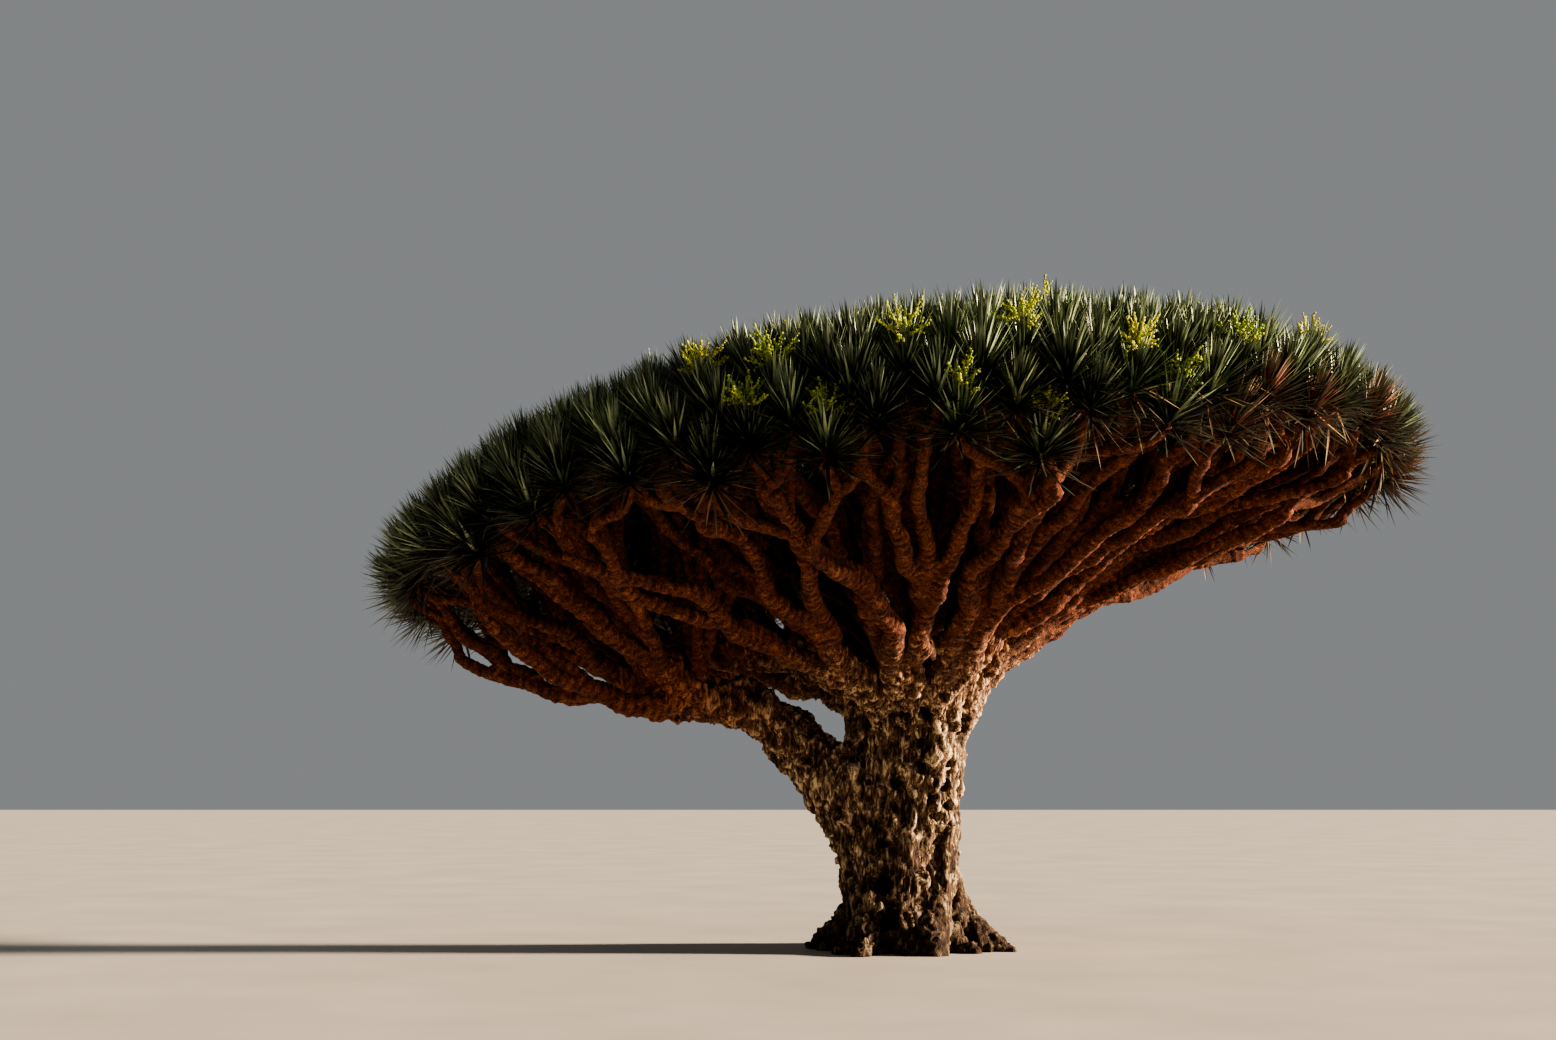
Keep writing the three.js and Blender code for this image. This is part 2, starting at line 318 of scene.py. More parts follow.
level = rosette_polars()
polar, azimuth = rosette_plan(level)
places = crown_point(polar, azimuth, ROSETTE_SHARE)
normals = unit(np.cross(
    crown_point(polar + 1, azimuth, 1) - crown_point(polar - 1, azimuth, 1),
    crown_point(polar, azimuth + 1, 1) - crown_point(polar, azimuth - 1, 1),
))
upwards = np.interp(np.abs(places[:, 0]) / CROWN_HALF[0], UPWARDS_REACHES, UPWARDS)
axes = unit(normals + upwards[:, None] * np.array((0, 0, 1)))

# %% [markdown]
# Lesson 3: branching.
# A dragon blood tree forks in two each time it flowers, so its boughs split again and again into pairs
# of equal arms, and each end carries one rosette. Here each CAD bough is drawn again with bends closer
# to the picture's, and the rosettes of its part of the crown are shared out among side branches.

# %% Lines of the CAD boughs
SWAY = 0.09  # m
FORK = np.array((0.23, 0.0, 2.12))
FORK_SPREAD = 0.25  # m from the fork to where its boughs start
LOW_LIMB = {"from": (-0.06, 0.0, 0.42), "over": (-0.47, -0.04, 1.80), "to": (-1.50, -0.09, 2.23)}
LOW_SPREAD = 0.13  # the same at the low limb's end
STEPS = 60  # of each line
RIM_END = (91, 0.26)  # polar angle in degrees and share of the crown's depth where a rim bough ends
RIM_LEAD = (0.45, -0.15)  # share of its way sideways where a bough's bend lies, and its change to the right
RIM_LIFT = (0.5, 0.2)  # share of its rise that it has won there, and its change to the right
LOW_LIFT = -0.3  # the same share for the low limb's boughs, which sag before they rise
RAISED_LEFT = 0.42  # how much more a bough to the back left has won there, over the low limb's gap
RAISED_RIGHT = 0.1
LOW_SECTORS = 30  # degrees to both sides of the left in which the rim boughs leave the low limb


def bough_line(start, over, end, phase):
    """A quadratic curve with one slow sway to its sides."""
    start, over, end = np.array(start), np.array(over), np.array(end)
    side = unit(np.array((start[1] - end[1], end[0] - start[0], 0)))
    t = np.linspace(0, 1, STEPS + 1)[:, None]
    sway = SWAY * np.sin(np.pi * t) * np.sin(2 * np.pi * t + phase)
    return (1 - t) ** 2 * start + 2 * (1 - t) * t * over + t**2 * end + side * sway


def bent_line(start, end, lead, lift, phase):
    """A bough's line whose bend lies at these shares of its way sideways and of its rise."""
    along = np.array((lead, lead, lift))
    return bough_line(start, start * (1 - along) + end * along, end, phase)


def is_low(i):
    """Whether the rim bough of this number leaves the low limb's end and not the trunk's fork."""
    return abs(SECTOR * i - 180) < LOW_SECTORS


def raised(east, north):
    """How much higher a bough bends that runs to the back, where the picture shows a gap below it."""
    return max(north, 0) * (RAISED_LEFT * max(-east, 0) + RAISED_RIGHT * max(east, 0))


def rim_line(i):
    turn = math.radians(SECTOR * i)
    east, north = math.cos(turn), math.sin(turn)
    low = is_low(i)
    hub = np.array(LOW_LIMB["to"]) if low else FORK
    start = hub + (LOW_SPREAD if low else FORK_SPREAD) * np.array((east, north, 0))
    lead = RIM_LEAD[0] + RIM_LEAD[1] * east
    lift = LOW_LIFT if low else RIM_LIFT[0] + RIM_LIFT[1] * east + raised(east, north)
    end = crown_point(RIM_END[0], SECTOR * i, RIM_END[1])
    return bent_line(start, end, lead, lift, GOLDEN_ANGLE * i)


# %% [markdown]
# The real boughs are crooked, because each growing season bends them a little. A few sine waves of
# random phase, small for the short ones and larger for the long ones, are laid over every line.
# The upper and inner boughs part from the rim boughs close to the trunk here, and a middle bough runs
# between each two of them, because the picture shows limbs side by side for most of their way.

# %% Crooked lines
BENDS = (0.7, 1.1, 1.9)  # m, the lengths of the waves
BEND_SHARE = 0.02  # of a wave's length, how far it bends the line
UPPER_LEAVES = 0.16  # share of the rim bough where its upper fork leaves
UPPER_END = (60, 0.14)  # polar angle and share of the depth, as in RIM_END
UPPER_ASIDE = 6  # degrees by which the upper forks end to one side or the other
UPPER_BEND = (0.5, 0.42)  # lead and lift
MIDDLE_LEAVES = 0.08
MIDDLE_END = (76, 0.2)
MIDDLE_LEAD = (0.48, -0.1)
MIDDLE_LIFT = (0.42, 0.1)
INNER_LEAVES = 0.1
INNER_END = (25, 0.14)
INNER_BEND = (0.5, 0.45)
CENTRE_BEND = (0.6, 0.5)


def lengths_along(path):
    return np.concatenate([[0], np.cumsum(np.linalg.norm(np.diff(path, axis=0), axis=1))])


def crooked(path):
    """The path with irregular bends that fade out at both its ends."""
    along = lengths_along(path)[:, None]
    bends = np.zeros_like(path)
    for wave in BENDS:
        phases = random.uniform(0, 2 * math.pi, 3)
        bends += BEND_SHARE * wave * np.sin(2 * np.pi * along / wave + phases)
    return path + bends * np.sqrt(np.sin(np.pi * along / along[-1]).clip(0))


rim_lines = [crooked(rim_line(i)) for i in range(RIM_BOUGHS)]
upper_lines = []
for i, line in enumerate(rim_lines):
    start = line[round(UPPER_LEAVES * STEPS)]
    aside = UPPER_ASIDE if i % 2 else -UPPER_ASIDE
    end = crown_point(UPPER_END[0], SECTOR * i + aside, UPPER_END[1])
    upper_lines.append(crooked(bent_line(start, end, *UPPER_BEND, GOLDEN_ANGLE * i)))
middle_lines = []
for i, line in enumerate(rim_lines):
    turn = math.radians(SECTOR * (i + 0.5))
    east, north = math.cos(turn), math.sin(turn)
    start = line[round(MIDDLE_LEAVES * STEPS)]
    end = crown_point(MIDDLE_END[0], SECTOR * (i + 0.5), MIDDLE_END[1])
    lead = MIDDLE_LEAD[0] + MIDDLE_LEAD[1] * east
    lift = MIDDLE_LIFT[0] + MIDDLE_LIFT[1] * east + raised(east, north)
    middle_lines.append(crooked(bent_line(start, end, lead, lift, GOLDEN_ANGLE * i)))
inner_lines = []
for i in range(INNER_BOUGHS):
    start = rim_lines[2 * i][round(INNER_LEAVES * STEPS)]
    end = crown_point(INNER_END[0], INNER_SECTOR * (i + INNER_SHIFT), INNER_END[1])
    inner_lines.append(crooked(bent_line(start, end, *INNER_BEND, GOLDEN_ANGLE * i)))
centre_end = crown_point(0, 0, INNER_END[1])
centre_line = crooked(bent_line(FORK, centre_end, *CENTRE_BEND, 2 * GOLDEN_ANGLE))
low_line = bough_line(LOW_LIMB["from"], LOW_LIMB["over"], LOW_LIMB["to"], 0)

# %% [markdown]
# Every limb is kept as a path of points with a radius at each. A free branch is a cubic curve that
# leaves in one direction and arrives in another, and its end is rounded off.

# %% Paths of limbs
PATH_STEP = 0.04  # m between the points of a path
LEAST_STEPS = 4
CURVE_POINTS = 24
END_CAP = np.array(((0.5, 0.87), (0.87, 0.5)))  # how far past the end, and how wide, in radii
TAPER_POWER = 0.6  # a bough thins fast at first and slowly towards its end

limbs = {"rim": [], "middle": [], "crown": [], "twigs": []}


def tapered(radii, share):
    """Radii of a bough at shares of its length, from its radius at the start to that at the end."""
    return radii[0] + (radii[1] - radii[0]) * share**TAPER_POWER


def resampled(path):
    """The path at even steps. Further columns, such as a radius, are carried along."""
    along = lengths_along(path[:, :3])
    count = max(LEAST_STEPS, round(along[-1] / PATH_STEP))
    at = np.linspace(0, along[-1], count + 1)
    return np.stack([np.interp(at, along, column) for column in path.T], axis=1)


def add_limb(kind, path, radii):
    """Keeps a limb, with its end rounded off."""
    cap = path[-1] + unit(path[-1] - path[-2]) * radii[-1] * END_CAP[:, :1]
    limbs[kind].append((np.vstack([path, cap]), np.append(radii, radii[-1] * END_CAP[:, 1])))


def cubic(start, heading, end, arrival, count=CURVE_POINTS):
    """A curve from one point and direction to another that doesn't dip before it rises to its end."""
    reach = np.linalg.norm(end - start)
    t = np.linspace(0, 1, count)[:, None]
    pull, push = start + heading * reach / 3, end - arrival * reach / 3
    push[2] = max(push[2], (start[2] + end[2]) / 2)
    first_half = (1 - t) ** 3 * start + 3 * (1 - t) ** 2 * t * pull
    return first_half + 3 * (1 - t) * t**2 * push + t**3 * end


def free_path(start, heading, end, arrival):
    return resampled(crooked(cubic(start, heading, end, arrival)))


# %% [markdown]
# The branching rule itself calls itself: it lays a stem from a fork towards the middle of its rosettes,
# halves the rosettes across their longest spread, and grows both halves. The arms part widely at the
# fork and then turn up side by side, which gives the tree its U-shaped crotches.

# %% The branching rule
TWIG_RADIUS = 0.043
GIRTH_POWER = 0.33  # radius grows as this power of the number of rosettes carried
FORK_DROPS = (0.5, 1.0, 1.5, 2.0)  # m from the rosettes down to the first, second, ... fork below
CLIMB = 0.22  # the least slope at which an arm runs up to its next fork
FORK_REACH = 0.7  # the most that this drop may be, as a share of the way to the rosettes
TURNING = 0.6  # how much an arm's direction at its fork follows its rosettes' own axis
PARTING = 0.6  # how widely two arms part, against their shared direction
SWELL = 1.08  # how much wider an arm is at its start than its count of rosettes asks for
TWIG_ROSETTES = 2  # stems that carry more than this belong to the boughs


def girth(count):
    return TWIG_RADIUS * count**GIRTH_POWER


def halves(group):
    """The group's rosettes in two halves, parted across the direction in which they spread most."""
    spread = places[group] - places[group].mean(axis=0)
    longest = np.linalg.svd(spread, full_matrices=False)[2][0]
    order = group[np.argsort(spread @ longest)]
    middle = len(order) // 2
    return order[:middle], order[middle:]


def grow(kind, start, heading, group, radius):
    """Grows from a point in a direction to a group of rosettes, and forks on the way."""
    kind = kind if len(group) > TWIG_ROSETTES else "twigs"
    if len(group) == 1:
        end = places[group[0]]
        path = free_path(start, heading, end, axes[group[0]])
        add_limb(kind, path, np.linspace(radius, TWIG_RADIUS, len(path)))
        return
    middle, axis = places[group].mean(axis=0), unit(axes[group].mean(axis=0))
    levels = math.ceil(math.log2(len(group)))
    reach = np.linalg.norm(middle - start)
    onward = unit(unit(middle - start) + TURNING * axis)
    fork = middle - onward * min(FORK_DROPS[levels - 1], FORK_REACH * reach)
    fork[2] = max(fork[2], start[2] + CLIMB * math.dist(fork[:2], start[:2]))
    path = free_path(start, heading, fork, onward)
    add_limb(kind, path, np.linspace(radius, girth(len(group)), len(path)))
    for half in halves(group):
        aside = places[half].mean(axis=0) - fork
        aside = aside - onward * (aside @ onward)
        grow(kind, fork, unit(onward + PARTING * unit(aside)), half, girth(len(half)) * SWELL)


# %% [markdown]
# A bough keeps the two rosettes nearest to its end, and its last stretch turns up towards them. The
# others are halved until a side branch has at most four. Each side branch leaves somewhere on the stretch
# where the bough still points roughly towards its rosettes, so that many long limbs run side by side.
# It leaves sideways or upwards and never down, because the picture's crown is smooth underneath.

# %% Side branches of the boughs
OWN_ROSETTES = 2
BRANCH_ROSETTES = 4
LEAVING_ANGLE = math.radians(14)
LEAVING_GAP = 2  # line steps between two side branches
LEAVING_TURN = 0.35  # how sharply a side branch turns aside, against the bough's direction
ARRIVAL = 0.5  # how much the upturned end keeps of the bough's direction, against its rosettes' axis
UPTURN_STEPS = 16  # of a bough's line, in which its end turns up towards its rosettes
LOW_DROOP = 0.17  # m, how much lower the long boughs of the low limb end
RIGHT_DROOPS = {0: 0.07, 1: -0.1}  # m, the same for the bough at the right and the next behind it


def rim_droop(i):
    """How much lower the rim bough of this number ends than its rosettes ask for."""
    return LOW_DROOP if is_low(i) else RIGHT_DROOPS.get(i, 0)


def shared_out(group):
    if len(group) <= BRANCH_ROSETTES:
        return [group]
    return [part for half in halves(group) for part in shared_out(half)]


def leaving_step(line, group, first):
    """A step of the line from which its direction is within a narrow angle of the group."""
    middle = places[group].mean(axis=0) - axes[group].mean(axis=0) * FORK_DROPS[0]
    steps = np.arange(first, STEPS - 2)
    ahead = unit(line[steps + 1] - line[steps])
    wanted = unit(middle - line[steps])
    angles = np.arccos((ahead * wanted).sum(axis=1).clip(-1, 1))
    narrow = steps[angles < LEAVING_ANGLE]
    return random.choice(narrow) if len(narrow) else steps[np.argmin(angles)]


def grow_bough(kind, line, radii, group, first_share, hidden=0, droop=0):
    """Grows a bough on its line, whose first hidden steps are left to the trunk's skin."""
    first = round(first_share * STEPS)
    nearest = group[np.argmin(np.linalg.norm(places[group] - line[-1], axis=1))]
    order = group[np.argsort(np.linalg.norm(places[group] - places[nearest], axis=1))]
    own, others = order[:OWN_ROSETTES], order[OWN_ROSETTES:]
    share = np.linspace(0, 1, STEPS + 1)[:, None]
    axis = unit(axes[own].mean(axis=0))
    fork = places[own].mean(axis=0) - FORK_DROPS[0] * axis - np.array((0, 0, droop))
    line = line + (fork - line[-1]) * share**3
    turn = STEPS - UPTURN_STEPS
    heading = unit(line[turn + 1] - line[turn])
    upturn = cubic(line[turn], heading, fork, unit(axis + ARRIVAL * heading), UPTURN_STEPS + 1)
    line = np.vstack([line[:turn], upturn])
    leaving = sorted(
        [(leaving_step(line, part, first), list(part)) for part in shared_out(others)],
        key=lambda pair: -pair[0],
    )
    step = STEPS
    for wanted, part in leaving:
        step = max(first, min(wanted, step - LEAVING_GAP))
        ahead = unit(line[step + 1] - line[step])
        aside = places[part].mean(axis=0) - line[step]
        aside = unit(aside - ahead * (aside @ ahead))
        aside[2] = max(aside[2], 0)
        part = np.array(part)
        grow(kind, line[step], unit(ahead + LEAVING_TURN * aside), part, girth(len(part)) * SWELL)
    path = resampled(line[hidden:])
    share = (lengths_along(path) + lengths_along(line)[hidden]) / lengths_along(line)[-1]
    add_limb(kind, path, tapered(radii, share))
    end, ahead = path[-2], unit(path[-1] - path[-3])
    grow(kind, end, ahead, own, radii[1])


# %% [markdown]
# The crown is parted as in the CAD model: a middle cap, seven inner sectors, and fourteen rim sectors
# whose upper rosettes go to the upper fork and whose lowest ones go to the rim bough. The rosettes in
# between go to the middle boughs.

# %% Grow the whole tree
CAP_POLAR = 15.7  # degrees, the border of the middle cap
INNER_POLAR = 40.3  # the outer border of the inner sectors
UPPER_POLAR = 60  # of the upper forks' rosettes
RIM_POLAR_FROM = 77  # of the middle boughs' rosettes, below which the rim boughs' own begin
# The share of each kind of bough, from its start, that carries no side branches.
BARE_SHARES = {"centre": 0.25, "inner": 0.12, "upper": 0.1, "middle": 0.15, "rim": 0.2}
RIM_RADII = (0.15, 0.05)  # m, at the trunk and at the end
MIDDLE_RADII = (0.13, 0.05)
UPPER_RADII = (0.12, 0.048)
INNER_RADII = (0.12, 0.05)
CENTRE_RADII = (0.25, 0.055)
HUB_STEPS = 8  # of a bough's line, which lie inside the trunk's own skin

sector_of = np.round(azimuth / SECTOR).astype(int) % RIM_BOUGHS
between = np.floor(azimuth / SECTOR).astype(int) % RIM_BOUGHS
inner_of = np.round(azimuth / INNER_SECTOR - INNER_SHIFT).astype(int) % INNER_BOUGHS
everything = np.arange(ROSETTES)
grow_bough("crown", centre_line, CENTRE_RADII, everything[level < CAP_POLAR], BARE_SHARES["centre"])
for i, line in enumerate(inner_lines):
    inside = (level >= CAP_POLAR) & (level < INNER_POLAR) & (inner_of == i)
    grow_bough("crown", line, INNER_RADII, everything[inside], BARE_SHARES["inner"])
for i in range(RIM_BOUGHS):
    upper = (level >= INNER_POLAR) & (level < UPPER_POLAR) & (sector_of == i)
    middle = (level >= UPPER_POLAR) & (level < RIM_POLAR_FROM) & (between == i)
    lower = (level >= RIM_POLAR_FROM) & (sector_of == i)
    grow_bough("crown", upper_lines[i], UPPER_RADII, everything[upper], BARE_SHARES["upper"])
    bare = BARE_SHARES["middle"]
    grow_bough("middle", middle_lines[i], MIDDLE_RADII, everything[middle], bare, HUB_STEPS)
    bare = BARE_SHARES["rim"]
    grow_bough("rim", rim_lines[i], RIM_RADII, everything[lower], bare, HUB_STEPS, rim_droop(i))
for kind, paths in limbs.items():
    metres = sum(lengths_along(path)[-1] for path, _ in paths)
    print(f"{kind}: {len(paths)} limbs, {metres:.0f} m")

# %% [markdown]
# Lesson 4: wood.
# A limb starts as a chain of points. Geometry Nodes turns the chain into a curve and sweeps a circle
# along it, as wide at each point as the limb is there.

# %% Limbs as tubes
def swept(tree, chain, sides):
    """A chain of points as a curve, the girth at its points, and a tube as wide as that along it."""
    curve = add_node(tree, "GeometryNodeMeshToCurve", {0: chain})
    ring = add_node(tree, "GeometryNodeCurvePrimitiveCircle", {"Resolution": sides, "Radius": 1.0})
    girth_there = read_attribute(tree, "girth")
    tube = {"Curve": curve, "Profile Curve": ring, "Scale": girth_there, "Fill Caps": True}
    return curve, girth_there, add_node(tree, "GeometryNodeCurveToMesh", tube)


def tubes_tree():
    tree, inputs = new_tree("tubes", {"Sides": "Int", "Material": "Material"})
    end_tree(tree, swept(tree, inputs["Geometry"], inputs["Sides"])[2], inputs["Material"])
    return tree


def chains(paths):
    """Paths joined into one set of points and edges, with the girth and the length along at each."""
    points = np.concatenate([path for path, _ in paths])
    radii = np.concatenate([radii for _, radii in paths])
    along = np.concatenate([lengths_along(path) + shift for shift, (path, _) in enumerate(paths)])
    starts = np.cumsum([0] + [len(path) for path, _ in paths])
    edges = [(k, k + 1) for a, b in zip(starts, starts[1:]) for k in range(a, b - 1)]
    return points, edges, radii, along


def limb_tubes(name, paths, sides, material):
    points, edges, radii, along = chains(paths)
    source = mesh_object(name + "_chain", points, edges, girth=radii, along=along)
    return run_tree(tubes, source, name, {"Sides": sides, "Material": material})


tubes = tubes_tree()

# %% [markdown]
# The bark's relief is one more tree. Rings are the scars of shed leaves: they cross the limb every few
# centimetres, so they follow the stored length along it. Lumps and cracks are noise. All three push
# the surface along its normal. The sum of rings and cracks is kept as an attribute, so that the finish
# can paint shade on what lies deep and paint a highlight on what stands proud, while the lumps leave
# the colour alone.
# Old wood near the trunk has lost its rings, so they fade in with the distance from there.

# %% Relief of the bark
RUST_CENTRE = (0.1, 0.0, 0.6)
RUST_DISTANCES = (1.35, 2.7)  # m from there, where young rusty bark starts and is full
RING_WAVES = 5.0  # noise waves in a metre, which keep the rings from being quite straight
RING_ROUNDNESS = 0.6  # power of the sine wave, and less gives broader rings and narrower grooves
RING_MIDDLE = 0.75  # the height of that wave at which the surface stays where it is
CRACK_DISTORTION = 1.2


def relief_tree():
    """Rings, cracks and lumps, in metres, with everything drawn out upwards by the stretch."""
    sizes = {f"{kind} {size}": "Float" for kind in ("Lump", "Crack") for size in ("size", "height")}
    sizes = {"Ring spacing": "Float", "Ring height": "Float", **sizes, "Stretch": "Float"}
    tree, inputs = new_tree("bark relief", {**sizes, "Material": "Material"})
    place = add_node(tree, "GeometryNodeInputPosition")
    young = map_range(tree, vector_maths(tree, "DISTANCE", place, RUST_CENTRE), *RUST_DISTANCES)
    grain = add_node(tree, "ShaderNodeCombineXYZ", {0: 1.0, 1: 1.0, 2: inputs["Stretch"]})
    grained = vector_maths(tree, "MULTIPLY", place, grain)
    wander = noise(tree, place, RING_WAVES, Detail=1.0)
    spacing = inputs["Ring spacing"]
    wandering = maths(tree, "MULTIPLY_ADD", wander, spacing, read_attribute(tree, "along"))
    wave = maths(tree, "MULTIPLY", maths(tree, "DIVIDE", wandering, spacing), math.pi)
    wave = maths(tree, "ABSOLUTE", maths(tree, "SINE", wave))
    wave = maths(tree, "POWER", wave, RING_ROUNDNESS)
    rings = maths(tree, "MULTIPLY", maths(tree, "SUBTRACT", wave, RING_MIDDLE), young)
    heights = [maths(tree, "MULTIPLY", rings, inputs["Ring height"])]
    for name, distortion in (("Crack", CRACK_DISTORTION), ("Lump", 0.0)):
        waves = maths(tree, "DIVIDE", 1.0, inputs[name + " size"])
        height = noise(tree, grained, waves, Detail=3.0, Distortion=distortion)
        height = maths(tree, "MULTIPLY", maths(tree, "SUBTRACT", height, 0.5), 2.0)
        heights.append(maths(tree, "MULTIPLY_ADD", height, inputs[name + " height"], heights[-1]))
    _, cracked, lumpy = heights
    push = vector_maths(tree, "SCALE", add_node(tree, "GeometryNodeInputNormal"), Scale=lumpy)
    kept = write_attribute(tree, inputs["Geometry"], "relief", cracked)
    end_tree(tree, add_node(tree, "GeometryNodeSetPosition", {0: kept, "Offset": push}), inputs["Material"])
    return tree


relief = relief_tree()

# %% [markdown]
# The finish of the bark.
# Old trunk bark is corky and weathered: grey-tan where it is worn, nearly black in its clefts, where
# the colour is painted shade. The boughs' bark is younger, a smooth rust brown with rings of leaf scars
# and dark flecks of dried resin. Both are one rough, dull surface whose colour follows the stored
# relief, with painted shade in its clefts and holes and a painted highlight on its ridges, and the tan
# gives way to rust with the distance from the trunk's middle, so that no seam shows between the pieces.
# Painted shade darkens the trunk's foot, and the flakes are drawn out upwards on the trunk, as its wood is.

# %% Bark
MM = 0.001
# Colour stops from the clefts, dark with painted shade, to the ridges, pale with a painted highlight, mixed
# with wear.
CLEFT_TO_RIDGE = (0.0, 0.3, 0.6, 1.0)
TRUNK_COLOURS = ("#0f0805", "#36271b", "#735a43", "#f0d6ab")
BOUGH_COLOURS = ("#110604", "#3b1c12", "#683722", "#a46944")
# The colour of the painted shade inside the trunk's holes.
HOLE_SHADE_COLOUR = "#1f110a"
# Resin flecks, and the painted shade at the trunk's foot, share this colour.
FLECK_AND_FOOT_SHADE_COLOUR = "#1c0d06"
RUST_WANDER = 0.7  # m, how far the mottling shifts that border
MOTTLE = 90 * MM  # patches of wear and lichen, about a hand wide
MOTTLE_SHARE = 0.7  # how much the mottling lightens or darkens a spot
FLECKS = 26 * MM  # runs of resin, about 10 mm in life, drawn coarser for the picture's pixels
FLECK_SHARE = (0.6, 0.72)  # of the noise's height, between which a fleck fades in
TRUNK_FLAKES = 45 * MM  # about 20 mm in life, drawn coarser for the same reason
BOUGH_FLAKES = 28 * MM
BUMP = 22 * MM  # depth of the flakes, deeper than life for the same reason
BARK_ROUGHNESS = 0.92
BARK_GLOSS = 0.25
FOOT_SHADE_HEIGHTS = (0.2, 1.1)  # m, between which the painted shade at the trunk's foot fades out
FOOT_SHADE_SHARE = 0.8  # how dark that painted shade is at the floor


def kept_value(tree, name):
    """An output that holds what the shape's own tree has kept at each point under this name."""
    return add_node(tree, "ShaderNodeAttribute", attribute_name=name).outputs["Fac"]


def mixed(tree, share, colour, other):
    """An output with the first colour, and the other one laid over it by this share."""
    layers = {"Factor_Float": share, "A_Color": colour, "B_Color": other}
    return add_node(tree, "ShaderNodeMix", layers, data_type="RGBA").outputs[2]


def paint(tree, shader, colour, roughness):
    tree.links.new(colour, shader.inputs["Base Color"])
    shader.inputs["Roughness"].default_value = roughness


def finished(name):
    """A new material, its node tree, its shader and the place on the object."""
    material = bpy.data.materials.new(name)
    material.use_nodes = True
    tree = material.node_tree
    place = add_node(tree, "ShaderNodeTexCoord").outputs["Object"]
    return material, tree, tree.nodes["Principled BSDF"], place


def bark(name, depth, flake, flake_share, stretch):
    """Bark with relief this deep and flakes this wide, in metres, that are drawn out upwards."""
    material, tree, shader, place = finished(name)
    # Through this share the relief's clefts get painted shade and its ridges a painted highlight.
    raised = map_range(tree, kept_value(tree, "relief"), -depth, depth)
    mottle = noise(tree, place, 1 / MOTTLE, Detail=5.0, Roughness=0.65)
    drawn = vector_maths(tree, "MULTIPLY", place, (1, 1, stretch))
    flakes = noise(tree, drawn, 1 / flake, Detail=3.0, Roughness=0.6, Distortion=1.5)
    worn_and_relief_shaded = maths(tree, "MULTIPLY_ADD", mottle, MOTTLE_SHARE, -(MOTTLE_SHARE + flake_share) / 2)
    worn_and_relief_shaded = maths(tree, "MULTIPLY_ADD", flakes, flake_share, worn_and_relief_shaded)
    worn_and_relief_shaded = maths(tree, "ADD", worn_and_relief_shaded, raised, use_clamp=True)
    tan, rust = [
        add_node(tree, "ShaderNodeValToRGB", {"Fac": worn_and_relief_shaded}, zip(CLEFT_TO_RIDGE, colours))
        for colours in (TRUNK_COLOURS, BOUGH_COLOURS)
    ]
    away = vector_maths(tree, "DISTANCE", place, RUST_CENTRE)
    away = maths(tree, "MULTIPLY_ADD", mottle, RUST_WANDER, away)
    rusty = map_range(tree, away, *[distance + RUST_WANDER / 2 for distance in RUST_DISTANCES])
    fleck = map_range(tree, noise(tree, place, 1 / FLECKS, Detail=2.0), *FLECK_SHARE)
    height = add_node(tree, "ShaderNodeSeparateXYZ", {0: place}).outputs["Z"]
    # Painted shade, darker towards the trunk's foot.
    foot_shade = map_range(tree, height, *FOOT_SHADE_HEIGHTS, FOOT_SHADE_SHARE, 0.0)
    dark, hole = linear(FLECK_AND_FOOT_SHADE_COLOUR), linear(HOLE_SHADE_COLOUR)
    # The holes' painted shade, kept when they were carved.
    hole_shade = kept_value(tree, "hole_shade")
    colour = tan
    for share, other in ((rusty, rust), (fleck, dark), (foot_shade, dark), (hole_shade, hole)):
        colour = mixed(tree, share, colour, other)
    paint(tree, shader, colour, BARK_ROUGHNESS)
    bump = add_node(tree, "ShaderNodeBump", {"Strength": 1.0, "Distance": BUMP, "Height": flakes})
    tree.links.new(bump.outputs[0], shader.inputs["Normal"])
    shader.inputs["Specular IOR Level"].default_value = BARK_GLOSS
    return material


plain = bpy.data.materials.new("plain")
trunk_bark = bark("weathered corky bark", 40 * MM, TRUNK_FLAKES, flake_share=2.0, stretch=0.3)
bough_bark = bark("ringed resin bark", 16 * MM, BOUGH_FLAKES, flake_share=1.6, stretch=1.0)

# %% [markdown]
# Where limbs fork, the real wood flows together. A voxel remesh melts overlapping tubes into one skin,
# and a few rounds of smoothing fill the crotches. Each vertex of the skin then takes the length along
# its nearest limb, so that the rings still cross each limb squarely.

# %% Skins
SMOOTHING = 0.5
SMOOTHING_ROUNDS = 3


def melted(name, sources, voxel):
    """One closed skin around the overlapping sources, which are used up."""
    joined = bmesh.new()
    for source in sources:
        joined.from_mesh(source.data)
        bpy.data.objects.remove(source)
    block = mesh_object(name + "_block", np.empty((0, 3)))
    joined.to_mesh(block.data)
    joined.free()
    remesh = block.modifiers.new("melt", "REMESH")
    remesh.mode = "VOXEL"
    remesh.voxel_size = voxel
    smooth = block.modifiers.new("smooth", "SMOOTH")
    smooth.factor = SMOOTHING
    smooth.iterations = SMOOTHING_ROUNDS
    return plain_mesh(block, name + "_skin")


def vertices_of(piece):
    points = np.empty(len(piece.data.vertices) * 3, np.float32)
    piece.data.vertices.foreach_get("co", points)
    return points.reshape(-1, 3)


def store(piece, name, values):
    attribute = piece.data.attributes.new(name, "FLOAT", "POINT")
    attribute.data.foreach_set("value", np.asarray(values, np.float32))


def label_along(piece, paths):
    """Gives each vertex the length along the limb that it lies nearest to."""
    points, _, _, along = chains(paths)
    tree = KDTree(len(points))
    for k, point in enumerate(points):
        tree.insert(point, k)
    tree.balance()
    nearest = [tree.find(point)[1] for point in vertices_of(piece)]
    store(piece, "along", along[nearest])


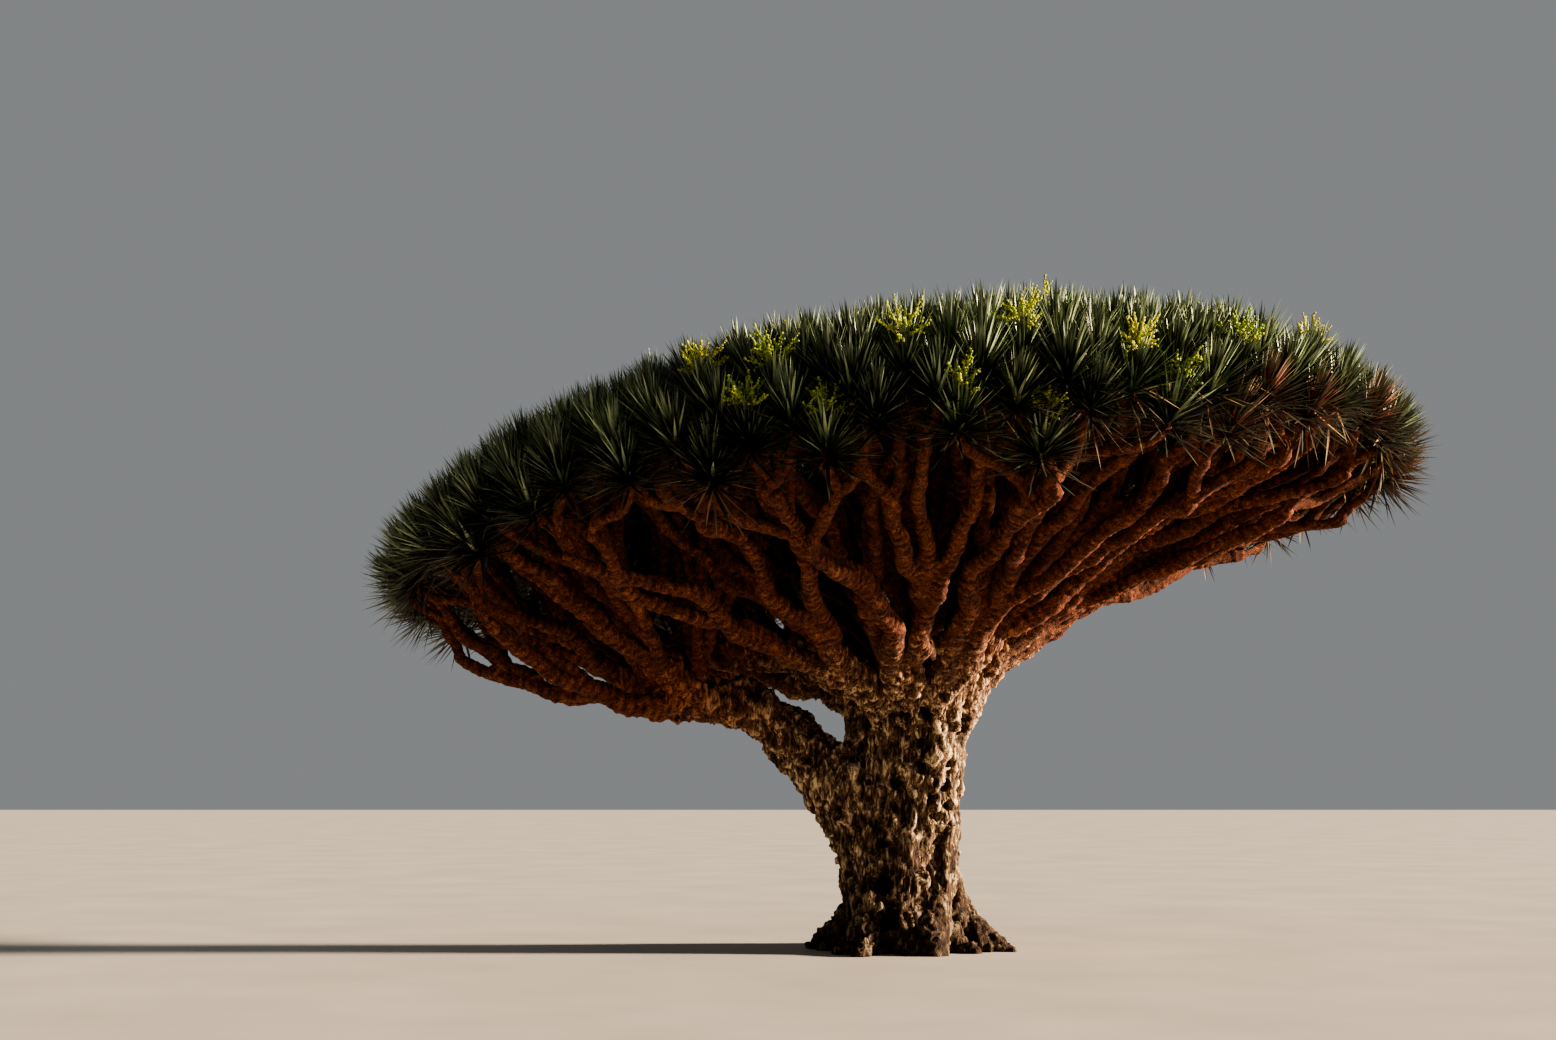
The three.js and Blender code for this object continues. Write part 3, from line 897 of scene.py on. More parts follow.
# %% [markdown]
# The trunk is old and muscular: the wood of each bough runs on down it as a strand, twists round it and
# ends in a root, and lumps bulge where limbs were lost. The CAD trunk is copied and smoothed for its
# true shape, the strands are laid on it as tubes that run up into the boughs' first stretch, and all of
# it is melted into one skin, fine enough to carve the holes.

# %% Solid of the trunk
LEAN = (0.24, 1.3)  # m of lean at the height of the CAD fork, and the power by which it grows
FORK_HEIGHT = 2.43
TRUNK_VOXEL = 0.0215  # m
WELD = 1e-5  # m between corners of the CAD mesh that are one
RAY_START = 3  # m from the trunk, where a ray towards it starts
DRAWN_IN = 0.12  # share by which the solid is drawn in, so that the strands reach its CAD outline
TOP_DRAWN_IN = 0.5  # the same share at its flat top, which the boughs' feet cover
TOP_HEIGHTS = (1.9, 2.4)  # m, between which the share grows
ROOT_HEIGHT = 0.05  # m, where a strand first touches the trunk
ROOT_RADII = (0.11, 0.17)
TOE_RADIUS = 0.06
TOE_REACH = (0.0, 0.22)  # m that a root's toe runs out over the floor
WAIST_RADII = (0.075, 0.13)  # of the thinnest and of the thickest strand
STRAND_POINTS = 22
STRAND_TWIST = 0.5  # radians of turn from root to fork
STRAND_SWAY = (0.25, 7)  # radians of sway on that, and radians of its wave from root to fork
WAIST_POWER = 0.7  # less makes the thin stretch of a strand longer
STRAND_END = 0.9  # width of a strand's upper end, as a share of its bough
STRAND_TOP = 1.95  # m, where a strand turns into its bough
SUNK = 1.0  # radii that a strand's middle lies under the CAD trunk's surface
FOOT_STEPS = (6, 17)  # of a bough's line, which belong to the trunk's skin
FOOT_FLARE = (1.25, 0.95)  # how much wider a bough's foot is than its bough, where it starts and ends
EASING_ROUNDS = 4
TRUNK_SIDES = 14  # of the tubes
INSIDE_DROP = 0.3  # m below the fork, where the foot of each of its boughs starts
LOW_INSIDE = -12  # step of the low limb's line, where the feet of its boughs start
LOW_RADII = (0.34, 0.17)  # of the low limb
LOW_STRANDS = 5
LOW_STRAND_WIDTHS = (0.6, 0.42)  # shares of the limb's radius, of the top strand and of the others
LOW_TWIST = 0.8  # radians
LOW_SUNK = 0.5  # radii that such a strand's middle lies under the limb's surface
BRACE = ((0.0, 0.12, 1.92), (-0.55, 0.14, 2.83), (-1.6, 0.02, 2.64))  # between fork and low limb
BRACE_RADII = (0.23, 0.19)
CROTCH = ((-0.2, 0.0, 1.1), (-0.38, 0.0, 1.5), (-0.47, 0.0, 1.72))  # of the low limb and the trunk
CROTCH_RADII = (0.25, 0.15)
SHOULDER = ((-0.38, 0.0, 1.5), (-0.3, 0.02, 1.95), (-0.2, 0.1, 2.4))  # of the trunk, over the crotch
SHOULDER_RADII = (0.15, 0.14)


def smoothed_copy(node):
    """A merged, subdivided copy of a CAD node. The node itself is never changed."""
    mesh = bmesh.new()
    mesh.from_mesh(frame["nodes"][node].data)
    bmesh.ops.remove_doubles(mesh, verts=mesh.verts, dist=WELD)
    copy = mesh_object(node + "_copy", np.empty((0, 3)))
    mesh.to_mesh(copy.data)
    mesh.free()
    rounded = copy.modifiers.new("rounded", "SUBSURF")
    rounded.levels = rounded.render_levels = 2
    return plain_mesh(copy, node + "_smooth")


def surface_of(piece):
    """A tree of the piece's faces, for finding where a ray meets it."""
    mesh = bmesh.new()
    mesh.from_mesh(piece.data)
    faces = BVHTree.FromBMesh(mesh)
    mesh.free()
    return faces


def trunk_axis(height):
    """The middle of the leaning trunk at a height, or at an array of them."""
    lean = LEAN[0] * (np.asarray(height) / FORK_HEIGHT) ** LEAN[1]
    return np.stack([lean, 0 * lean, height], axis=-1)


def drawn_in(piece):
    """Draws the trunk's solid in towards its axis."""
    points = vertices_of(piece).astype(float)
    axis = trunk_axis(points[:, 2].clip(0))
    axis[:, 2] = points[:, 2]
    share = np.interp(points[:, 2], TOP_HEIGHTS, (DRAWN_IN, TOP_DRAWN_IN))[:, None]
    piece.data.vertices.foreach_set("co", (points + share * (axis - points)).ravel())
    piece.data.update()


def eased(path, radii):
    """The path at even steps, with its corners and its sudden changes of radius smoothed away."""
    whole = resampled(np.column_stack([path, radii]))
    for _ in range(EASING_ROUNDS):
        whole[1:-1] = (whole[:-2] + 2 * whole[1:-1] + whole[2:]) / 4
    return whole[:, :3], whole[:, 3]


def strand(surface, line):
    """A bough's wood, from a root up the trunk's surface and into the bough's first stretch."""
    first, last = FOOT_STEPS
    bearing = math.atan2(*(line[first] - FORK)[[1, 0]])
    sway = random.uniform(0, 2 * math.pi)
    waist, root = random.uniform(*WAIST_RADII), random.uniform(*ROOT_RADII)
    path, radii = [], []
    for share in np.linspace(0, 1, STRAND_POINTS):
        height = ROOT_HEIGHT + share * (STRAND_TOP - ROOT_HEIGHT)
        swaying = STRAND_SWAY[0] * math.sin(STRAND_SWAY[1] * share + sway)
        turn = bearing - (1 - share) * (STRAND_TWIST + swaying)
        out = np.array((math.cos(turn), math.sin(turn), 0))
        hit = surface.ray_cast(trunk_axis(height) + RAY_START * out, -out)[0]
        end = root if share < 0.5 else STRAND_END * RIM_RADII[0]
        radius = waist + (end - waist) * (1 - math.sin(math.pi * share) ** WAIST_POWER)
        if not path:
            toe = np.array(hit) + out * random.uniform(*TOE_REACH)
            path.append(toe * (1, 1, 0))
            radii.append(TOE_RADIUS)
        path.append(np.array(hit) - out * radius * SUNK)
        radii.append(radius)
    foot = tapered(RIM_RADII, np.arange(first, last) / STEPS) * np.linspace(*FOOT_FLARE, last - first)
    return eased(np.vstack([path, line[first:last]]), np.append(radii, foot))


def foot(line, radii, inside):
    """The first stretch of a bough, from a point inside the trunk or the low limb."""
    last = FOOT_STEPS[1]
    widths = tapered(radii, np.arange(last) / STEPS) * np.linspace(*FOOT_FLARE, last)
    return eased(np.vstack([inside, line[:last]]), np.append(radii[0], widths))


def low_strand(k):
    """A strand that twists along the low limb. The first lies on top, thickest in the crotch."""
    path = resampled(low_line)
    share = np.linspace(0, 1, len(path))[:, None]
    ahead = unit(np.gradient(path, axis=0))
    side = np.array((0, 1, 0))
    above = np.cross(ahead, side)
    turn = 2 * math.pi * k / LOW_STRANDS + LOW_TWIST * share
    limb = tapered(LOW_RADII, share)
    radius = limb * LOW_STRAND_WIDTHS[min(k, 1)]
    path = path + (above * np.cos(turn) + side * np.sin(turn)) * (limb - LOW_SUNK * radius)
    return crooked(path), radius[:, 0]


trunk_copy = smoothed_copy("trunk")
trunk_surface = surface_of(trunk_copy)
drawn_in(trunk_copy)
strands = [strand(trunk_surface, rim_lines[i]) for i in range(RIM_BOUGHS) if not is_low(i)]
for i in range(RIM_BOUGHS):
    inside = low_line[LOW_INSIDE] if is_low(i) else trunk_axis(FORK[2] - INSIDE_DROP)
    strands.append(foot(middle_lines[i], MIDDLE_RADII, inside))
    if is_low(i):
        strands.append(foot(rim_lines[i], RIM_RADII, inside))
strands += [low_strand(k) for k in range(LOW_STRANDS)]
extra = (
    (low_line, LOW_RADII),
    (bough_line(*BRACE, 0), BRACE_RADII),
    (np.array(CROTCH), CROTCH_RADII),
    (np.array(SHOULDER), SHOULDER_RADII),
)
for line, radii in extra:
    limb_path = resampled(line)
    strands.append((limb_path, np.linspace(*radii, len(limb_path))))
trunk_tubes = limb_tubes("strands", strands, TRUNK_SIDES, plain)
trunk_skin = melted("trunk", [trunk_copy, trunk_tubes], TRUNK_VOXEL)

# %% [markdown]
# The holes that show in the picture are placed from the front, by their height and their distance to
# the right of the trunk's foot, in metres. More are scattered on the other sides by the fixed seed.
# A hole presses the skin in like a thumb and raises a lip around it, and how deep each vertex lies in
# a hole is kept, so that the finish paints shade into it later.

# %% Holes in the trunk
FRONT_HOLES = (  # right of the foot, height, radius
    (0.05, 2.02, 0.05),
    (0.23, 2.04, 0.05),
    (0.55, 1.98, 0.085),
    (0.19, 1.79, 0.045),
    (0.20, 1.59, 0.065),
    (0.45, 1.63, 0.05),
    (0.00, 1.44, 0.055),
    (0.28, 1.33, 0.055),
    (0.42, 1.43, 0.045),
    (0.45, 1.25, 0.045),
    (0.34, 1.16, 0.055),
    (-0.13, 0.95, 0.05),
    (-0.15, 1.23, 0.03),
    (-0.82, 1.65, 0.05),
    (0.17, 0.67, 0.05),
    (0.47, 0.67, 0.045),
    (-0.19, 0.60, 0.10),
    (-0.12, 0.30, 0.09),
)
OTHER_HOLES = 26
OTHER_TURNS = (-0.6, 3.8)  # radians round the trunk from the right, which leaves the front alone
OTHER_HEIGHTS = (0.5, 2.1)
OTHER_RADII = (0.035, 0.075)
HOLE_DEPTH = 2.0  # in radii, as the next three values are
HOLE_LIP = 0.15
LIP_PLACE = (1.25, 0.3)  # of the lip's ridge from the hole's middle, and half the width of the ridge
HOLE_REACH = (2, 3)  # aside and in depth, where a hole still moves the skin
HOLE_SHADE = (2.5, 2.2)  # how dark the painted shade in its middle would be, and how much less with each radius aside
HOLE_WANDER = 0.2  # how far a hole's outline strays from a circle
HOLE_PHASES = (40, 90)  # radians for each metre of radius, so that no two outlines are alike


def hole_places(surface):
    """A centre, an inward direction and a radius for each hole."""
    places = []
    for right, height, radius in FRONT_HOLES:
        hit = surface.ray_cast(Vector((right, -RAY_START, height)), Vector((0, 1, 0)))
        places.append((hit[0], -hit[1], radius))
    for _ in range(OTHER_HOLES):
        turn, height = random.uniform(*OTHER_TURNS), random.uniform(*OTHER_HEIGHTS)
        out = Vector((math.cos(turn), math.sin(turn), 0))
        hit = surface.ray_cast(Vector(trunk_axis(height)) + RAY_START * out, -out)
        places.append((hit[0], -hit[1], random.uniform(*OTHER_RADII)))
    return places


def carve(piece, holes):
    """Presses each hole into the skin and keeps how dark its painted shade is there."""
    points = vertices_of(piece)
    hole_shade = np.zeros(len(points))
    ridge, ridge_width = LIP_PLACE
    for centre, inward, radius in holes:
        centre, inward = np.array(centre), np.array(inward)
        offset = points - centre
        deep = offset @ inward
        across = offset - deep[:, None] * inward
        turn = np.arctan2(across[:, 2], np.linalg.norm(across[:, :2], axis=1) * np.sign(across[:, 0]))
        slow, fast = [phase * radius for phase in HOLE_PHASES]
        wander = 1 + HOLE_WANDER * np.sin(2 * turn + slow) * np.cos(3 * turn + fast)
        aside = np.linalg.norm(across, axis=1) / (radius * wander)
        near = (aside < HOLE_REACH[0]) & (np.abs(deep) < HOLE_REACH[1] * radius)
        bowl = np.clip(1 - aside[near] ** 2, 0, 1) ** 0.5 * HOLE_DEPTH
        lip = np.exp(-(((aside[near] - ridge) / ridge_width) ** 2)) * HOLE_LIP
        points[near] += ((bowl - lip) * radius)[:, None] * inward
        # Painted shade, darkest in the hole's middle and fading out towards its rim.
        dark = HOLE_SHADE[0] - HOLE_SHADE[1] * aside[near]
        hole_shade[near] = np.maximum(hole_shade[near], dark.clip(0, 1))
    piece.data.vertices.foreach_set("co", points.ravel())
    store(piece, "hole_shade", hole_shade)


holes = hole_places(surface_of(trunk_skin))
carve(trunk_skin, holes)
print(len(holes), "holes")

# %% [markdown]
# The trunk gets the coarsest relief: lumps as wide as a hand is long, and cracks between ridges that
# run up it. Its foot is then pressed flat on the floor again, as the CAD foot is.

# %% Trunk
TRUNK_RELIEF = {  # sizes and heights in m
    "Ring spacing": 0.12,
    "Ring height": 0.0,
    "Lump size": 0.28,
    "Lump height": 0.11,
    "Crack size": 0.085,
    "Crack height": 0.075,
    "Stretch": 0.5,
}
FLAT_BAND = 0.03  # m above the floor in which every vertex comes down to it


def flattened(piece):
    points = vertices_of(piece)
    points[points[:, 2] < FLAT_BAND, 2] = 0
    piece.data.vertices.foreach_set("co", points.ravel())
    piece.data.update()


store(trunk_skin, "along", np.zeros(len(trunk_skin.data.vertices)))
trunk = run_tree(relief, trunk_skin, "trunk_bark", {**TRUNK_RELIEF, "Material": trunk_bark})
flattened(trunk)
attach(trunk, "root")
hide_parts("trunk", "low_limb")

# %% [markdown]
# The boughs get the same treatment in three pieces: the rim boughs, the middle ones between them, and
# the upper ones. The lowest are seen from nearest by, so their skin has the smallest voxels.
# Their rings lie about eight centimetres apart, a few times wider than the real leaf scars, which are
# narrower than a pixel of the picture.

# %% Boughs
BOUGH_VOXELS = {"rim": 0.024, "middle": 0.027, "crown": 0.042}  # m
BOUGH_NODES = {"rim": ("rim_bough",), "middle": ("upper_fork",), "crown": ("inner_bough", "centre_bough")}
BOUGH_SIDES = 12
BOUGH_RELIEF = {
    "Ring spacing": 2 * PATH_STEP,
    "Ring height": 0.011,
    "Lump size": 0.2,
    "Lump height": 0.04,
    "Crack size": 0.08,
    "Crack height": 0.016,
    "Stretch": 1.0,
}

for kind in ("rim", "middle", "crown"):
    skin = melted(kind, [limb_tubes(kind, limbs[kind], BOUGH_SIDES, plain)], BOUGH_VOXELS[kind])
    label_along(skin, limbs[kind])
    piece = run_tree(relief, skin, kind + "_boughs", {**BOUGH_RELIEF, "Material": bough_bark})
    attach(piece, "root")
    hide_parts(*[node for node in frame["nodes"] if node.startswith(BOUGH_NODES[kind])])

# %% [markdown]
# The last stems, which carry one or two rosettes, are too many to melt into a skin. They stay six-sided
# tubes that start inside the bough's wood, with the same relief in smaller measures.

# %% Twigs
TWIG_RELIEF = {**BOUGH_RELIEF, "Ring height": 0.009, "Lump height": 0.015, "Crack height": 0.01}
TWIG_SIDES = 6

twigs = limb_tubes("twig_tubes", limbs["twigs"], TWIG_SIDES, plain)
twigs = run_tree(relief, twigs, "twigs", {**TWIG_RELIEF, "Material": bough_bark})
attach(twigs, "root")

# %% [markdown]
# Lesson 5: leaves.
# Each leaf is a stiff blade about 40 cm long, folded along its middle like a shallow V, widest at
# its middle and sharp at its tip. Two faces a side are enough at this distance, and four shapes with
# different bends keep the rosettes from looking stamped.

# %% Leaf shapes
LEAF_LENGTH = 0.43
LEAF_WIDTH = 0.024
LEAF_FOLD = 0.007  # m, depth of the V
LEAF_BENDS = (-0.006, 0.006, 0.016, 0.035)  # m that the tip bends back from straight
LEAF_OUTLINE = ((0.0, 0.8), (0.5, 1.0))  # share of the length, share of the width


def leaf_shape(bend):
    """A blade along +Z, with its upper side towards +Y."""
    points, faces, reach = [], [], []
    for share, width in LEAF_OUTLINE:
        height, back = LEAF_LENGTH * share, -bend * share**2
        for side in (-1, 0, 1):
            points.append((side * width * LEAF_WIDTH / 2, back - LEAF_FOLD * width * (side == 0), height))
            reach.append(share)
    points.append((0, -bend, LEAF_LENGTH))
    reach.append(1.0)
    for k in (0, 1):
        faces += [(k + 3, k + 4, k + 1, k), (6, k + 4, k + 3)]
    return mesh_object(f"leaf_{bend}", points, (), faces, reach=reach)


leaf_shapes = bpy.data.collections.new("leaf_shapes")
for bend in LEAF_BENDS:
    shape = leaf_shape(bend)
    bpy.context.scene.collection.objects.unlink(shape)
    leaf_shapes.objects.link(shape)
bpy.context.scene.collection.children.link(leaf_shapes)

# %% [markdown]
# A rosette grows leaf by leaf, each a golden angle round from the last. The youngest stand upright in
# the middle, the oldest lie flat or hang at the bottom. The tree below copies each rosette's point
# once for each leaf, turns and tilts each copy by its age, puts a leaf there, and lets it sag a little.

# %% Leaf rosettes
LOOSE_TILT = 0.12  # radians that a leaf may tilt more or less than its age asks for
LEAF_SCALES = (0.8, 1.12)
PAINTED_SHADE_BY_AGE = (1.05, 0.6)  # how light a leaf may be at most, when youngest and when oldest; the old, low leaves get painted shade


def rosette_tree():
    """A ring of tilted, sagging leaves for each point, which has an axis, a turn and a size."""
    sizes = {"Leaves each": "Int", "Youngest tilt": "Float", "Oldest tilt": "Float", "Stem": "Float"}
    tree, inputs = new_tree(
        "leaf rosettes",
        {**sizes, "Sag": "Float", "Shapes": "Collection", "Seed": "Int", "Material": "Material"},
    )
    axis = read_attribute(tree, "axis", "FLOAT_VECTOR")
    turn, size = read_attribute(tree, "turn"), read_attribute(tree, "size")
    copies = {"Geometry": inputs["Geometry"], "Amount": inputs["Leaves each"]}
    copies = add_node(tree, "GeometryNodeDuplicateElements", copies, domain="POINT")
    number = copies.outputs["Duplicate Index"]
    age = maths(tree, "DIVIDE", number, inputs["Leaves each"])
    tilt = map_range(tree, age, 0.0, 1.0, inputs["Youngest tilt"], inputs["Oldest tilt"])
    tilted = maths(tree, "ADD", tilt, random_number(tree, -LOOSE_TILT, LOOSE_TILT, inputs["Seed"]))
    turned = maths(tree, "MULTIPLY_ADD", number, GOLDEN_ANGLE, turn)
    euler = add_node(tree, "ShaderNodeCombineXYZ", {0: tilted, 2: turned})
    own_turn = add_node(tree, "FunctionNodeEulerToRotation", {0: euler})
    stand = add_node(tree, "FunctionNodeAlignRotationToVector", {"Vector": axis}, axis="Z")
    rotation = {"Rotation": stand, "Rotate By": own_turn}
    rotation = add_node(tree, "FunctionNodeRotateRotation", rotation, rotation_space="LOCAL")
    lower = maths(tree, "MULTIPLY", maths(tree, "MULTIPLY", age, inputs["Stem"]), -1.0)
    down_stem = vector_maths(tree, "SCALE", axis, Scale=lower)
    moved = add_node(tree, "GeometryNodeSetPosition", {0: copies.outputs[0], "Offset": down_stem})
    sag = maths(tree, "MULTIPLY", random_number(tree, 0.0, inputs["Sag"], 1), age)
    sagging = write_attribute(tree, moved, "sag", sag)
    scale = maths(tree, "MULTIPLY", random_number(tree, *LEAF_SCALES, 2), size)
    pick = {"Min_002": 0, "Max_002": len(LEAF_BENDS) - 1, "Seed": 3}
    pick = add_node(tree, "FunctionNodeRandomValue", pick, data_type="INT")
    shapes = {"Collection": inputs["Shapes"], "Separate Children": True}
    shapes = add_node(tree, "GeometryNodeCollectionInfo", shapes)
    # Old, low leaves get painted shade.
    shade_by_age = map_range(tree, age, 0.0, 1.0, *PAINTED_SHADE_BY_AGE)
    shade = maths(tree, "MULTIPLY", random_number(tree, 0.0, 1.0, 4), shade_by_age)
    shaded = write_attribute(tree, sagging, "shade", shade)
    picked = {"Instance": shapes, "Pick Instance": True, "Instance Index": pick.outputs[2]}
    leaves = {"Points": shaded, **picked, "Rotation": rotation, "Scale": scale}
    leaves = add_node(tree, "GeometryNodeInstanceOnPoints", leaves)
    real = add_node(tree, "GeometryNodeRealizeInstances", {0: leaves})
    reach, slack = read_attribute(tree, "reach"), read_attribute(tree, "sag")
    drop = maths(tree, "MULTIPLY", maths(tree, "MULTIPLY", reach, reach), slack)
    drop = maths(tree, "MULTIPLY", drop, -1.0)
    falling = add_node(tree, "ShaderNodeCombineXYZ", {2: drop})
    sagged = add_node(tree, "GeometryNodeSetPosition", {0: real, "Offset": falling})
    end_tree(tree, sagged, inputs["Material"])
    return tree


rosettes = rosette_tree()

# %% [markdown]
# The finish of the leaves.
# A leaf is a stiff waxy blade, so it is fairly glossy and catches the light along its fold. Old and
# young rosettes differ in colour. Each rosette gets one of four greens by the fixed seed. Within a green
# every blade has its own shade, from nearly black to a waxy grey-green that is partly a painted
# highlight. Painted shade darkens a blade the older and lower it is, and a painted highlight lightens it
# towards its tip. Withering and dead leaves lose their wax and turn dull.

# %% Leaf finish
LEAF_DRIFT = 400 * MM  # patches of lighter and darker blades, as wide as a rosette
DRIFT_SHARE = 0.6  # how much those patches add to a blade's own shade
LEAF_SHADES = (0.4, 0.7, 0.82)  # of the blades: dark up to here, then light, then a waxy grey-green that is partly a painted highlight
LEAF_ROUGHNESS = 0.32
DULL_ROUGHNESS = 0.6
DRY_ROUGHNESS = 0.75
# The painted highlight at a blade's tip.
TIP_HIGHLIGHT_COLOUR = "#7f9069"
TIP_HIGHLIGHT_REACHES = (0.6, 1.3)  # shares of the length, where the tip's painted highlight starts and would be full
# Each green runs from dark to light to a pale waxy grey-green, which partly stands in as a painted
# highlight.
TINTS = {
    "deep": ("#050b05", "#1b3018", "#a5bb97"),
    "mid": ("#081007", "#253b1d", "#aec196"),
    "olive": ("#0e1509", "#364928", "#b7c69a"),
    "fresh": ("#111e0c", "#3e5f2e", "#bed0a3"),
}
RUSTY = ("#2c0e07", "#63301c", "#a87460")  # dried by the sun and the wind, but still on the tree
# Old leaves under the green ones, their colour darkened as painted shade.
OLD_SHADED = ("#0d0a06", "#292116", "#72644a")
STRAW = ("#4d2f1a", "#87603a", "#bd9668")


def leaf_finish(name, colours, roughness=LEAF_ROUGHNESS):
    material, tree, shader, place = finished(name)
    drift = noise(tree, place, 1 / LEAF_DRIFT, Detail=3.0)
    shade = maths(tree, "MULTIPLY_ADD", drift, DRIFT_SHARE, kept_value(tree, "shade"))
    shade = maths(tree, "SUBTRACT", shade, DRIFT_SHARE / 2)
    colour = add_node(tree, "ShaderNodeValToRGB", {"Fac": shade}, zip(LEAF_SHADES, colours))
    # A painted highlight lightens the blade towards its tip.
    tip_highlight = map_range(tree, kept_value(tree, "reach"), *TIP_HIGHLIGHT_REACHES)
    paint(tree, shader, mixed(tree, tip_highlight, colour, linear(TIP_HIGHLIGHT_COLOUR)), roughness)
    return material


# %% [markdown]
# Along the rim at the right many leaves have turned brown, so the lowest rosettes there get a rusty
# tint. Every rosette keeps a ring of old leaves under its green ones, darkened as painted shade, which
# is what shows from below. Under a share of the rim rosettes hangs a skirt of dead straw-coloured
# leaves. The same tree makes all of them, with the tilts set past horizontal.

# %% Leaves
# The tilts are degrees from the rosette's axis, of the youngest and of the oldest leaf. The stem is the
# length that the leaves cover below the rosette's point, and the sag is how far a tip hangs, in metres.
GREEN = {"leaves_each": 150, "tilts": (4, 84), "stem": 0.1, "sag": 0.05}
OLD_RING = {"leaves_each": 22, "tilts": (88, 112), "stem": 0.14, "sag": 0.0}
SKIRT = {"leaves_each": 14, "tilts": (100, 160), "stem": 0.12, "sag": 0.0}
LEAF_SIZES = (0.92, 1.1)
TOP_SHORTENING = 0.14  # of the leaves in the crown's middle
RUSTY_REACHES = (1.9, 4.2)  # m to the right of the trunk
RUSTY_FROM = (84, 72)  # degrees of level at those reaches, below which the rosettes are rusty
RUSTY_SHARE = 0.85
SKIRT_POLAR = 66
SKIRT_CHANCES = (0.06, 0.9)  # the least at the left and the most at the right
SKIRT_RAMP = (1, 5)  # m left of the trunk where the chance starts to grow, and the width it grows over


def rosette_piece(name, own, material, slot, seed, leaves_each, tilts, stem, sag):
    """The rosettes of one kind as one piece."""
    sizes = leaf_sizes[own] * (1 - TOP_SHORTENING * np.cos(np.radians(polar[own])))
    source = mesh_object(name + "_points", places[own], axis=axes[own], turn=turns[own], size=sizes)
    piece = run_tree(rosettes, source, name, {
        "Leaves each": leaves_each,
        "Youngest tilt": math.radians(tilts[0]),
        "Oldest tilt": math.radians(tilts[1]),
        "Stem": stem,
        "Sag": sag,
        "Shapes": leaf_shapes,
        "Seed": seed,
        "Material": material,
    })
    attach(piece, "root")
    return piece


turns = random.uniform(0, 2 * math.pi, ROSETTES)
leaf_sizes = random.uniform(*LEAF_SIZES, ROSETTES)
tint_of = random.integers(0, len(TINTS), ROSETTES)
rusty_from = np.interp(places[:, 0], RUSTY_REACHES, RUSTY_FROM, left=180)
rusty = (level > rusty_from) & (random.random(ROSETTES) < RUSTY_SHARE)
tint_of[rusty] = len(TINTS)
for k, (tint, colours) in enumerate(TINTS.items()):
    green = leaf_finish("waxy leaf " + tint, colours)
    slot = "leaf_tips" if tint == "fresh" else "leaves"
    own = tint_of == k
    piece = rosette_piece("leaves_" + tint, own, green, slot, k, **GREEN)
    if k == 0:
        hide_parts(*[node for node in frame["nodes"] if node.startswith("foliage")])

rust = leaf_finish("withering leaf", RUSTY, DULL_ROUGHNESS)
# The old leaves' finish, darkened as painted shade.
shaded_old = leaf_finish("aged leaf", OLD_SHADED, DULL_ROUGHNESS)
straw = leaf_finish("dry leaf", STRAW, DRY_ROUGHNESS)
rosette_piece("leaves_rusty", rusty, rust, "dry_leaves", 5, **GREEN)
rosette_piece("leaves_old", everything, shaded_old, "dry_leaves", 7, **OLD_RING)
dry_chance = np.clip((places[:, 0] + SKIRT_RAMP[0]) / SKIRT_RAMP[1], *SKIRT_CHANCES)
skirts = (polar > SKIRT_POLAR) & (random.random(ROSETTES) < dry_chance)
rosette_piece("dry_skirts", skirts, straw, "dry_leaves", 6, **SKIRT)
for shape in list(leaf_shapes.objects):
    bpy.data.objects.remove(shape)
print(f"{rusty.sum()} rusty rosettes, {skirts.sum()} with dry skirts")

# %% [markdown]
# Lesson 6: blossom.
# The tree flowers in branched sprays that stand just above the leaves. Each grows out of the middle of
# a rosette: a bare stalk, a candelabrum of arms, short spikes on each arm, and tiny flowers all along.
# The sprays that show in the picture are set on the rosettes nearest to them in the camera's view, and
# the hidden side of the crown gets more, spread by the fixed seed.

# %% Which rosettes flower
SPRAY_PIXELS = (
    (700, 355), (725, 400), (780, 350), (845, 375), (903, 323), (985, 372), (1037, 320), (1050, 362),
    (1158, 320), (1168, 380), (1248, 318),
)
PHOTO_CENTRE = np.array((778, 520))
SPRAYS = 36
SPRAY_GAP = 0.85  # m, the least between two sprays on the hidden side
SPRAY_POLAR = 72  # degrees, below which none grows there
SPRAY_HEIGHT = 0.4  # m of a spray's middle above its rosette


def seen_at(points):
    """The pixels of the photograph at which the camera sees the points."""
    x, y, z = (points - np.array(EYE)).T
    ahead = y * math.cos(LOOK_UP) + z * math.sin(LOOK_UP)
    up = z * math.cos(LOOK_UP) - y * math.sin(LOOK_UP)
    return PHOTO_CENTRE + FOCAL_PIXELS * np.stack([x / ahead, -up / ahead], axis=1)


def flowering_rosettes():
    """The rosettes nearest to the picture's sprays, and then some on the side that it doesn't show."""
    pixels = seen_at(places + SPRAY_HEIGHT * axes)
    hidden = (normals * (np.array(EYE) - places)).sum(axis=1) < 0
    chosen = []
    for spot in SPRAY_PIXELS:
        distance = np.linalg.norm(pixels - spot, axis=1)
        distance[hidden] = np.inf
        distance[chosen] = np.inf
        chosen.append(np.argmin(distance))
    for k in random.permutation(ROSETTES):
        gap = np.linalg.norm(places[chosen] - places[k], axis=1).min()
        if hidden[k] and polar[k] < SPRAY_POLAR and gap > SPRAY_GAP and len(chosen) < SPRAYS:
            chosen.append(k)
    return chosen


flowering = flowering_rosettes()
print(len(flowering), "sprays of blossom")

